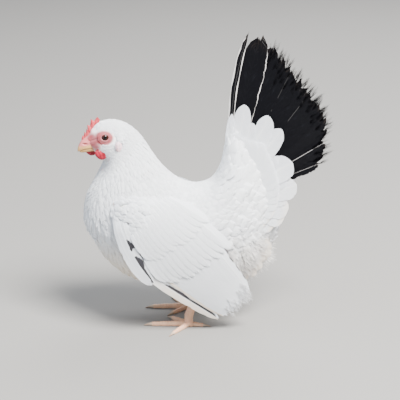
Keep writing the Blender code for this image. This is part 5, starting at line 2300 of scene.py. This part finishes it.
@dataclass
class Beak:
    """Upper and lower beak, parted by the line of the mouth, with two nostrils."""

    ridge: tuple = ((-117.0, 192.2), (-121.3, 187.6), (-124, 182.6), (-125, 178))
    edge: tuple = ((-108, 182.6), (-114, 181.3), (-119.5, 180.1), (-124.6, 177.4))
    half_widths: tuple = (5.3, 4.6, 3.3, 1.0)
    jaw_edge: tuple = ((-107.6, 182.1), (-113, 180.8), (-118.5, 179.6), (-123, 178.2))
    jaw_keel: tuple = ((-105.2, 177.2), (-111.5, 176.8), (-117.5, 176.2), (-122.8, 176.2))
    jaw_half_widths: tuple = (4.6, 4.0, 2.8, 0.9)
    nostril: tuple[float, float, float] = (-118.0, 4.2, 185.4)
    # Size of a nostril, middle of the flap over it from the nostril's, and size of the flap.
    pit_size: tuple[float, float, float] = (2.1, 3.0, 0.85)
    flap_at: tuple[float, float, float] = (0.3, 0, 1.5)
    flap_size: tuple[float, float, float] = (2.6, 3.0, 1.1)
    pit_depth: float = 1.5 * MM
    flap_rise: float = 0.45 * MM

    def half(self, name: str, upper: tuple, lower: tuple, widths: tuple, arch_up: bool) -> bpy.types.Object:
        """One half of the beak between its ridge or keel and its cutting edge.

        Args:
            name: The piece's name.
            upper: Its upper line, from the root to the tip.
            lower: Its lower line.
            widths: Its half widths.
            arch_up: Whether it is the upper beak.

        Returns:
            The piece.
        """
        at = 3 - 3 * (1 - np.linspace(0, 1, 46)) ** 1.2
        lines = (smooth_curve(rows, at) for rows in ((lower, upper) if arch_up else (upper, lower)))
        flat, crown = (stacked(rows[:, 0], 0, rows[:, 1])[:, None] * MM for rows in lines)
        blunt = np.sqrt(np.clip((3.02 - at) / 0.35, 0, 1))[:, None]
        half = smooth_curve(widths, at)[:, None] * MM * blunt
        a, b = np.linspace(0, math.pi, 31), np.linspace(-0.85, 0.85, 9)
        height = np.sin(a) ** 0.8 * np.maximum(blunt, 0.25)
        arch = flat + (crown - flat) * height[..., None] + ACROSS * (half * np.cos(a))[..., None]
        hollow = (1 - b**2) * 0.06 + 0.01
        inner = flat + (crown - flat) * hollow[None, :, None] + ACROSS * (half * b)[..., None]
        rise = np.abs(arch[..., 2] - flat[..., 2])
        skin = ramp(1.8 * MM, 3.0 * MM, rise) * (1 - 0.55 * ramp(1.2, 2.6, at))[:, None] * arch_up
        mark = with_ends(np.concatenate([skin, np.zeros((len(at), len(b)))], axis=1), 0.5, 0.0)
        rings = np.concatenate([arch, inner], axis=1)
        return tube_piece(name, TRUNK.turned(self.nostrils(rings) if arch_up else rings), BEAK_HORN, mark=mark)

    def nostrils(self, rings: Array) -> Array:
        """The upper beak with its nostrils pressed in under a soft flap.

        Args:
            rings: Its rings.

        Returns:
            The rings, moved.
        """
        for side in SIDE_NAMES:
            from_pit = rings - np.array(self.nostril) * (1, side, 1) * MM
            rel = from_pit / (np.array(self.pit_size) * MM)
            above = (from_pit - np.array(self.flap_at) * MM) / (np.array(self.flap_size) * MM)
            pit, flap = np.exp(-(dot(rel, rel) ** 1.4)), np.exp(-dot(above, above))
            rings = rings + ACROSS * side * (flap * self.flap_rise - pit * self.pit_depth)[..., None]
        return rings

    def build(self) -> list[bpy.types.Object]:
        """Both halves.

        Returns:
            The upper and the lower beak.
        """
        return [
            self.half("beak_upper_horn", self.ridge, self.edge, self.half_widths, True),
            self.half("beak_lower_horn", self.jaw_edge, self.jaw_keel, self.jaw_half_widths, False),
        ]


@dataclass
class Comb:
    """The single comb along the skull, cut into points."""

    start: float = -1.1
    end: float = 3.4
    points: int = 6
    height: tuple[float, float] = (3.2 * MM, 8.8 * MM)
    highest: float = 0.76
    cut: float = 0.55
    # How far the points lean back along the skull, as a share of their height.
    lean: float = 0.8
    thickness: tuple[float, float] = (1.5 * MM, 3.4 * MM)
    across: tuple = (
        (0, 1), (0.18, 0.96), (0.38, 0.82), (0.6, 0.62), (0.8, 0.45), (0.94, 0.28), (1, 0.08),
        (1, -0.08), (0.94, -0.28), (0.8, -0.45), (0.6, -0.62), (0.38, -0.82), (0.18, -0.96), (0, -1),
    )
    # How deep its foot is sunk into the skull, and how far it sways from side to side.
    sink: float = 1.2 * MM
    sway: float = 0.5 * MM
    # Size and height of its unevenness.
    ripples: tuple[float, float] = (1.6 * MM, 0.12 * MM)
    ripple_seed: int = 3

    def build(self) -> bpy.types.Object:
        """The comb as one piece.

        Returns:
            The piece.
        """
        share = np.linspace(0, 1, 150)
        at = self.start + (self.end - self.start) * share
        top = TRUNK.surface(at, np.zeros_like(at), 0, straight=True)
        along = unit(np.gradient(top, axis=0))
        outward = np.cross(along, ACROSS)
        outward *= np.sign(outward[:, 2:])
        outward = unit(outward + along * self.lean)
        towards = np.where(share < self.highest, share / self.highest, (1 - share) / (1 - self.highest))
        tooth = (1 - np.abs(2 * (share * self.points % 1) - 1)) ** 1.15
        draw = np.random.default_rng(SEED)
        own = draw.uniform(-1, 1, self.points)
        uneven = 1 + 0.12 * np.interp(share * self.points, np.arange(self.points) + 0.5, own)
        low, high = self.height
        height = (low + (high - low) * towards) * (1 - self.cut + self.cut * tooth) * uneven
        thin, thick = self.thickness
        rounded = np.sqrt(np.maximum(np.sin(math.pi * share), 0))
        half = (thin + (thick - thin) * rounded) / 2 * (0.82 + 0.18 * tooth)
        up, out = np.transpose(self.across)
        lifts = (height + self.sink)[:, None] * up - self.sink
        sway = self.sway * np.sin(share * 9 + 1)[:, None] * up
        rings = top[:, None] + outward[:, None] * lifts[..., None] + ACROSS * (half[:, None] * out + sway)[..., None]
        size, rise = self.ripples
        rings = rings + ACROSS * (rise * ripple(rings, size, self.ripple_seed) * np.sign(out))[..., None]
        return tube_piece("comb_flesh", TRUNK.turned(rings), COMB_SKIN)


@dataclass
class Lump:
    """A soft hanging lump of the head with upright folds: a wattle or an ear lobe."""

    name: str
    at: tuple[float, float, float]
    size: tuple[float, float, float]
    finish: Finish
    folds: tuple
    slant: float = 0.2
    # How much further forward the right one hangs.
    ahead: float = 0.0
    # Whether its foot is darker: a painted shadow where it hangs from the head.
    dark_foot: bool = False
    # Size and height of its unevenness.
    ripples: tuple[float, float] = (1.9 * MM, 0.16 * MM)
    ripple_seed: int = 5

    def build(self, side: float) -> bpy.types.Object:
        """The lump of one side.

        Args:
            side: The side.

        Returns:
            The piece.
        """
        lat, lon = grid(np.linspace(0.02, math.pi - 0.02, 48), turns(64))
        along, out, up = np.sin(lat) * np.cos(lon), np.sin(lat) * np.sin(lon), np.cos(lat)
        crease = np.ones(along.shape)
        for place, deep, wide in self.folds:
            crease = crease - deep * bell(along - place - self.slant * up, wide)
        centre = TRUNK.on_head(*self.at, side) - np.array((self.ahead * MM * (side == RIGHT), 0, 0))
        size = np.array(self.size) * MM
        points = stacked(along * size[0] * (1 - self.slant * up), out * size[1] * crease, up * size[2]) + centre
        wide, rise = self.ripples
        points = points + stacked(0, out, 0) * (rise * ripple(points, wide, self.ripple_seed))[..., None]
        # Painted shadow: darker towards the foot, the top where the lump hangs from the head.
        deep = with_ends(ramp(0.45, 0.85, up), 1.0, 0.0) * self.dark_foot
        return tube_piece(f"{self.name}_{SIDE_NAMES[side]}", TRUNK.turned(points), self.finish, deep=deep)


WATTLE = Lump(
    "wattle_flesh", (-102, 175.8, -1.0), (7.2, 2.9, 6), WATTLE_SKIN,
    ((0.0, 0.45, 0.18), (0.5, 0.22, 0.12), (-0.5, 0.2, 0.12)), -0.22, 6.5, dark_foot=True,
)
LOBE = Lump("lobe_flesh", (-87, 184, 0), (3.5, 2.4, 5.4), LOBE_SKIN, ((0.1, 0.16, 0.2),), 0.05)


@dataclass
class Eye:
    """An eyeball, and the two lids that close round it."""

    side: float

    def build(self) -> list[bpy.types.Object]:
        """The eyeball and its lids."""
        return [self.ball(), self.lids()]

    def ball(self) -> bpy.types.Object:
        """The eyeball with its clear bulge in front.

        Returns:
            The piece.
        """
        centre, facing, forward, up = FACE.eye_axes(self.side)
        polar, turn = grid(np.linspace(0.01, math.pi - 0.01, 48), turns(72))
        radius = FACE.eye_radius * (1 + 0.045 * bell(polar, 0.5))
        ways = facing * np.cos(polar)[..., None] + circle(turn, forward, up) * np.sin(polar)[..., None]
        name = SIDE_NAMES[self.side]
        finish = EyeGlass(
            f"eye_glass_{name}", (0.1, 0.03, 0.01), roughness=0.24, specular=0.2, coat=0.1,
            centre=tuple(centre), facing=tuple(facing),
        )
        return tube_piece(f"eyeball_{name}", centre + ways * radius[..., None], finish)

    def lids(self) -> bpy.types.Object:
        """A rolled rim round the opening, thicker above, with fine creases.

        Returns:
            The piece.
        """
        centre, facing, forward, up = FACE.eye_axes(self.side)
        rows, columns = 120, 18
        turn, roll = grid(turns(rows), turns(columns))
        wide, high = (half + 0.25 * MM for half in FACE.opening)
        rim = forward * (np.cos(turn) * wide)[..., None] + up * (np.sin(turn) * high)[..., None]
        above = np.sqrt(np.maximum(FACE.eye_radius**2 - dot(rim, rim), 0)) + 0.35 * MM
        creased = 1 + 0.07 * np.sin(turn * 23) + 0.05 * np.sin(turn * 37)
        thick = (0.62 + 0.2 * np.maximum(np.sin(turn), 0)) * MM * creased
        rings = centre + rim + facing * above[..., None] + circle(roll, unit(rim), facing) * thick[..., None]
        points = rings.reshape(-1, 3)
        faces = grid_faces(rows + 1, columns, wrapped=True) % (rows * columns)
        vane = np.stack([roll.ravel(), turn.ravel()], axis=-1) / FULL_TURN
        draft = Draft()
        draft.add(points, faces_outward(points, faces), vane, flush=0.95)
        return draft.build(f"lids_{SIDE_NAMES[self.side]}", FACE_SKIN.material())


# Legs


@dataclass
class Leg:
    """The shank, foot and claws of one side, scaled in front and on the toes."""

    side: float
    place: tuple[float, float] = (-15, 25)
    foot_top: float = 8
    hock_at: tuple[float, float] = (-5, 38)
    thigh_at: tuple[float, float] = (-10, 62)
    shank_radius: float = 4.2 * MM
    start: float = 0.08
    end: float = 0.88
    scutes: int = 9
    scute_rise: float = 0.5 * MM
    # Name, heading outwards from straight ahead, length without the claw, radius at the root and scutes.
    toes: tuple = (
        ("middle", 0, 38, 3.1, 13), ("outer", 58, 29, 2.7, 11), ("inner", -47, 25, 2.7, 9), ("hind", 172, 15, 2.5, 6),
    )
    toe_height: float = 0.82
    toe_end: float = 0.62
    claw_length: float = 7.5 * MM
    # How high the small scales behind the shank, the plates of the toes and the pads under them stand.
    scale_rise: float = 0.22 * MM
    plate_rise: float = 0.42 * MM
    pad_rise: float = 0.25 * MM
    # The pad's half widths as a share of the shank's, at shares of the way down.
    pad: tuple = ((0, 1.02), (0.2, 1.06), (0.45, 1.12), (0.7, 1.14), (0.9, 1.06), (1.0, 0.8))

    def __post_init__(self) -> None:
        """Works out the places that the pieces hang from."""
        x, y = self.place
        hock_x, hock_z = self.hock_at
        self.foot = np.array((x, y * self.side, self.foot_top)) * MM
        self.hock = np.array((hock_x, y * self.side, hock_z)) * MM
        self.thigh_top = np.array((self.thigh_at[0], y * self.side, self.thigh_at[1])) * MM
        self.axis = unit(self.hock - self.foot)
        self.low = self.foot + (self.hock - self.foot) * self.start
        self.high = self.foot + (self.hock - self.foot) * self.end
        self.knee = self.high + self.axis * 0.3 * MM
        ahead = np.array((-1.0, 0, 0))
        self.front = unit(ahead - self.axis * dot(ahead, self.axis))
        self.across = np.cross(self.axis, self.front)

    def rings(self, centres: Array, radius: Array, sides: int) -> Array:
        """Circles round the leg's axis.

        Args:
            centres: Their centres.
            radius: Their radii.
            sides: How many points each has.

        Returns:
            The rings.
        """
        return centres[:, None] + circle(turns(sides), self.front, self.across)[None] * radius[:, None, None]

    def shank(self) -> bpy.types.Object:
        """The shank with a row of plates in front and small scales behind.

        Returns:
            The piece.
        """
        t, turn = np.linspace(0, 1, 150), turns(48)
        centres = self.low + (self.high - self.low) * t[:, None]
        rings = self.rings(centres, self.shank_radius * (0.9 + 0.6 * (t - 0.45) ** 2), len(turn))
        facing = np.cos(turn)[None]
        lap = (t * self.scutes) % 1
        plate = self.scute_rise * (1 - lap**1.5)[:, None] * ramp(0.1, 0.55, facing)
        slanted = (t[:, None] * self.scutes * 1.5 + 0.8 * np.abs(np.sin(turn))[None]) % 1
        scale = self.scale_rise * (1 - slanted**2) * ramp(0.3, -0.2, facing) * (0.6 + 0.4 * np.cos(turn * 9)[None])
        rings = rings + unit(rings - centres[:, None]) * (plate + scale)[..., None]
        groove = ramp(0.8, 1.0, lap)[:, None] * ramp(0.0, 0.5, facing)
        mark = with_ends(0.2 + 0.6 * groove, 0.2, 0.2)
        return tube_piece(f"shank_scales_{SIDE_NAMES[self.side]}", rings, LEG_SCALES, mark=mark)

    def toe_rings(self, centres: Array, along: Array, radius: Array, sides: int) -> tuple[Array, Array]:
        """Circles across a toe.

        Args:
            centres: Their centres.
            along: The way that the toe points.
            radius: Their radii.
            sides: How many points each has.

        Returns:
            The rings, and how far up each of their points faces.
        """
        turn = turns(sides)
        ways = circle(turn, unit(np.cross(UP, along)), UP)
        rings = centres[:, None] + ways[None] * radius[:, None, None]
        return rings, np.broadcast_to(np.sin(turn), rings.shape[:2])

    def foot_pieces(self) -> list[bpy.types.Object]:
        """The pad and the toes as one piece, and each claw.

        Returns:
            The pieces.
        """
        ankle = self.low - self.axis * 0.3 * MM
        ground = np.array((ankle[0], ankle[1], 0))
        steps, widths = np.transpose(self.pad)
        rings = self.rings(ankle + (ground - ankle) * steps[:, None], self.shank_radius * widths, 40)
        rings[..., 2] = np.maximum(rings[..., 2], 0)
        draft = Draft()
        draft.add(*tube(rings), mark=0.25)
        claws = [self.toe(draft, ground, *row) for row in self.toes]
        return [draft.build(f"foot_scales_{SIDE_NAMES[self.side]}", LEG_SCALES.material())] + claws

    def toe(
        self, draft: Draft, ground: Array, name: str, heading: float, length: float, radius: float, scutes: int
    ) -> bpy.types.Object:
        """Adds a toe, and makes its claw.

        Args:
            draft: The foot's mesh.
            ground: The place under the ankle.
            name: The toe's name.
            heading: Its angle outwards from straight ahead.
            length: Its length without the claw, in millimetres.
            radius: Its radius at the root, in millimetres.
            scutes: How many plates it has.

        Returns:
            The claw.
        """
        angle = math.radians(heading)
        along = np.array((-math.cos(angle), self.side * math.sin(angle), 0))
        length, radius = length * MM, radius * MM
        t = np.linspace(0, 1, 14 * scutes)
        here = radius * (1 - (1 - self.toe_end) * t)
        joints = 3 if length > 20 * MM else 2
        swell = 1 + 0.07 * np.cos(t * FULL_TURN * joints)
        centres = ground + along * (length * t)[:, None] + UP * (here * self.toe_height)[:, None]
        rings, upward = self.toe_rings(centres, along, here * swell, 28)
        lap = (t * scutes) % 1
        plate = self.plate_rise * (lap**0.7)[:, None] * ramp(0.25, 0.75, upward)
        pads = self.pad_rise * np.abs(np.sin(t * math.pi * scutes * 0.5))[:, None] * ramp(-0.1, -0.6, upward)
        rings = rings + unit(rings - centres[:, None]) * (plate + pads)[..., None]
        close = np.sqrt(np.clip((1 - t) / 0.04, 0.05, 1))
        rings = centres[:, None] + (rings - centres[:, None]) * close[:, None, None]
        rings[..., 2] = np.maximum(rings[..., 2], 0)
        groove = ramp(0.22, 0.0, lap)[:, None] * ramp(0.2, 0.6, upward)
        draft.add(*tube(rings), mark=with_ends(0.18 + 0.6 * groove, 0.2, 0.2))
        return self.claw(name, ground + along * (length - 0.8 * MM), along, radius * self.toe_end)

    def claw(self, toe: str, root: Array, along: Array, radius: float) -> bpy.types.Object:
        """A curved claw that tapers down to the floor.

        Args:
            toe: The name of its toe.
            root: Where it starts.
            along: The way that the toe points.
            radius: The toe's radius there.

        Returns:
            The piece.
        """
        t, sides = np.linspace(0, 1, 30), 20
        wide = radius * (0.86 * (1 - t) ** 0.75 + 0.04)
        high = radius * (0.98 - 0.86 * t**1.5)
        centres = root + along * ((self.claw_length + 0.9 * MM) * t)[:, None] + UP * high[:, None]
        rings = self.toe_rings(centres, along, wide, sides)[0]
        rings[..., 2] = np.maximum(rings[..., 2], 0)
        mark = with_ends(np.repeat(t, sides), 0, 1)
        return tube_piece(f"claw_horn_{SIDE_NAMES[self.side]}_{toe}", rings, CLAW_HORN, mark=mark)

    def feathers(self) -> bpy.types.Object:
        """The feathers of the thigh, down to the hock.

        Returns:
            The coat.
        """
        at, turn = grid(np.linspace(0, 1, 50), np.linspace(0, FULL_TURN, 50))
        up = self.thigh_top - self.knee
        ways = circle(turn, self.front, self.across)
        place = self.knee + up * at[..., None] + ways * ((5.4 + 6.4 * at) * MM)[..., None]
        unwrap = np.stack([turn / FULL_TURN, at], axis=-1)
        lie = np.broadcast_to(unit(-up), place.shape)
        # Painted warm light bounced from the floor: cream growing towards the knee.
        surface = Surface(place, lie, ways, unwrap, (6 + 7 * at) * MM, 0.6, 0.16, tint=0.25 * (1 - at) + 0.1)
        name = f"coat_thigh_{SIDE_NAMES[self.side]}"
        return Coat(name, VaneShape.ROUND, 3.1 * MM, 0.3, seed=SEED + 6).grow(surface)


# The stage


@dataclass
class Stage:
    """The floor, the lights and the camera."""

    elevation: float = 17.0
    distance: float = 1.6
    lens: float = 144.0
    target: tuple[float, float, float] = (-0.003, 0.0, 0.1246)
    lit: tuple[float, float, float] = (0, 0, 0.12)
    half_floor: float = 8.0
    # Name, place, size, power and colour of each lamp.
    lamps: tuple = (
        ("key", (0.75, -1.0, 1.95), 1.0, 270.0, (1.0, 0.985, 0.96)),
        ("fill", (-1.7, -0.9, 0.8), 1.6, 20.0, (0.64, 0.8, 1.0)),
        ("back", (0.5, 1.5, 1.5), 1.2, 50.0, (0.97, 0.98, 1.0)),
    )
    sky: tuple[Colour, float] = ((0.84, 0.88, 0.97), 0.6)

    def floor(self) -> None:
        """Makes the plain pale floor."""
        side, rows = self.half_floor, 9
        mesh = bpy.data.meshes.new("floor")
        x, y = np.meshgrid(np.linspace(-side, side, rows), np.linspace(-side, side, rows))
        mesh.from_pydata(stacked(x, y, 0).reshape(-1, 3).tolist(), [], grid_faces(rows, rows).tolist())
        mesh.materials.append(FLOOR.material())
        made = linked("floor", mesh)
        made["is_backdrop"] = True

    def light(self, name: str, place: tuple, size: float, power: float, colour: Colour) -> None:
        """Makes a soft square lamp that looks at the bird.

        Args:
            name: Its name.
            place: Where it hangs.
            size: Its side.
            power: Its power in watts.
            colour: Its colour.
        """
        data = bpy.data.lights.new(name, "AREA")
        data.size, data.energy, data.color = size, power, colour
        made = linked(name, data)
        made.location = place
        made.rotation_euler = (Vector(self.lit) - Vector(place)).to_track_quat("-Z", "Y").to_euler()

    def camera(self) -> None:
        """Sets the camera at the photograph's viewing angle."""
        data = bpy.data.cameras.new("camera")
        data.lens, data.sensor_width, data.clip_start = self.lens, 36.0, 0.05
        made = linked("camera", data)
        e = math.radians(self.elevation)
        back = Vector((0, -math.cos(e), math.sin(e)))
        made.location = Vector(self.target) + back * self.distance
        made.rotation_euler = (-back).to_track_quat("-Z", "Y").to_euler()
        bpy.context.scene.camera = made

    def build(self) -> None:
        """Sets all of it up."""
        self.camera()
        self.floor()
        for lamp in self.lamps:
            self.light(*lamp)
        world = bpy.data.worlds.new("studio")
        world.use_nodes = True
        colour, strength = self.sky
        background = world.node_tree.nodes["Background"]
        Wiring(world.node_tree).feed_all(background, {"Color": colour, "Strength": strength})
        bpy.context.scene.world = world


@dataclass
class Hen:
    """The whole bird: which piece stands for which solids and rides on which body."""

    wings: dict[float, Wing] = field(default_factory=lambda: {side: Wing(side) for side in SIDE_NAMES})

    def fit(self, piece: bpy.types.Object, slot: str, *nodes: str) -> None:
        """Attaches a piece to the body, hides the solids that it stands for, and logs its triangles.

        Args:
            piece: The finished piece.
            slot: The record's material slot; not used.
            nodes: The solids that it stands for.
        """
        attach(piece, BODY)
        if nodes:
            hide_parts(*nodes)
        triangles = sum(len(p.vertices) - 2 for p in piece.data.polygons)
        log.info("%s: %d triangles", piece.name, triangles)

    def build(self) -> None:
        """Makes every piece."""
        core = ("head", "neck", "torso", "rump", "thigh_left", "thigh_right")
        self.fit(SKIN.build(list(self.wings.values())), "plumage", *core)
        for piece in BodyCoat().build():
            self.fit(piece, "plumage")
        for side, wing in self.wings.items():
            coverts, *others = wing.build()
            self.fit(coverts, "plumage", f"wing_{SIDE_NAMES[side]}")
            for piece in others:
                self.fit(piece, "plumage")
        for piece in Tail().build():
            self.fit(piece, "tail_feather" if "fan" in piece.name else "plumage", "tail")
        for piece in Fluff().build():
            self.fit(piece, "plumage")
        for piece, node in zip(Beak().build(), ("beak_upper", "beak_lower")):
            self.fit(piece, "horn", node)
        self.fit(Comb().build(), "comb", "comb")
        for side, name in SIDE_NAMES.items():
            self.fit(WATTLE.build(side), "comb", f"wattle_{name}")
            self.fit(LOBE.build(side), "lobe", f"earlobe_{name}")
            ball, lids = Eye(side).build()
            self.fit(ball, "eye", f"eye_{name}")
            self.fit(lids, "comb")
            leg = Leg(side)
            self.fit(leg.shank(), "leg_skin", f"shank_{name}")
            foot, *claws = leg.foot_pieces()
            self.fit(foot, "leg_skin", f"foot_{name}")
            for claw in claws:
                self.fit(claw, "claw", f"claw_{name}_{claw.name.rsplit('_', 1)[1]}")
            self.fit(leg.feathers(), "plumage")


def clear_feathers() -> None:
    """Removes the feathers that the coats repeated."""
    for shape in VaneShape:
        collection = bpy.data.collections.get("feathers_" + shape.value)
        if collection:
            for made in list(collection.objects):
                bpy.data.objects.remove(made)
            bpy.data.collections.remove(collection)


def write_size() -> None:
    """Works out the box of the solids and that of the visual model, without writing it anywhere."""
    boxes = {"cad": CAD_BOX, "visual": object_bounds()}
    {key: [list(corner) for corner in box] for key, box in boxes.items()}


def main() -> None:
    """Builds the bird and the stage."""
    logging.basicConfig(level=logging.INFO, format="%(message)s")
    Stage().build()
    Hen().build()
    clear_feathers()
    write_size()


if __name__ == "__main__":
    main()
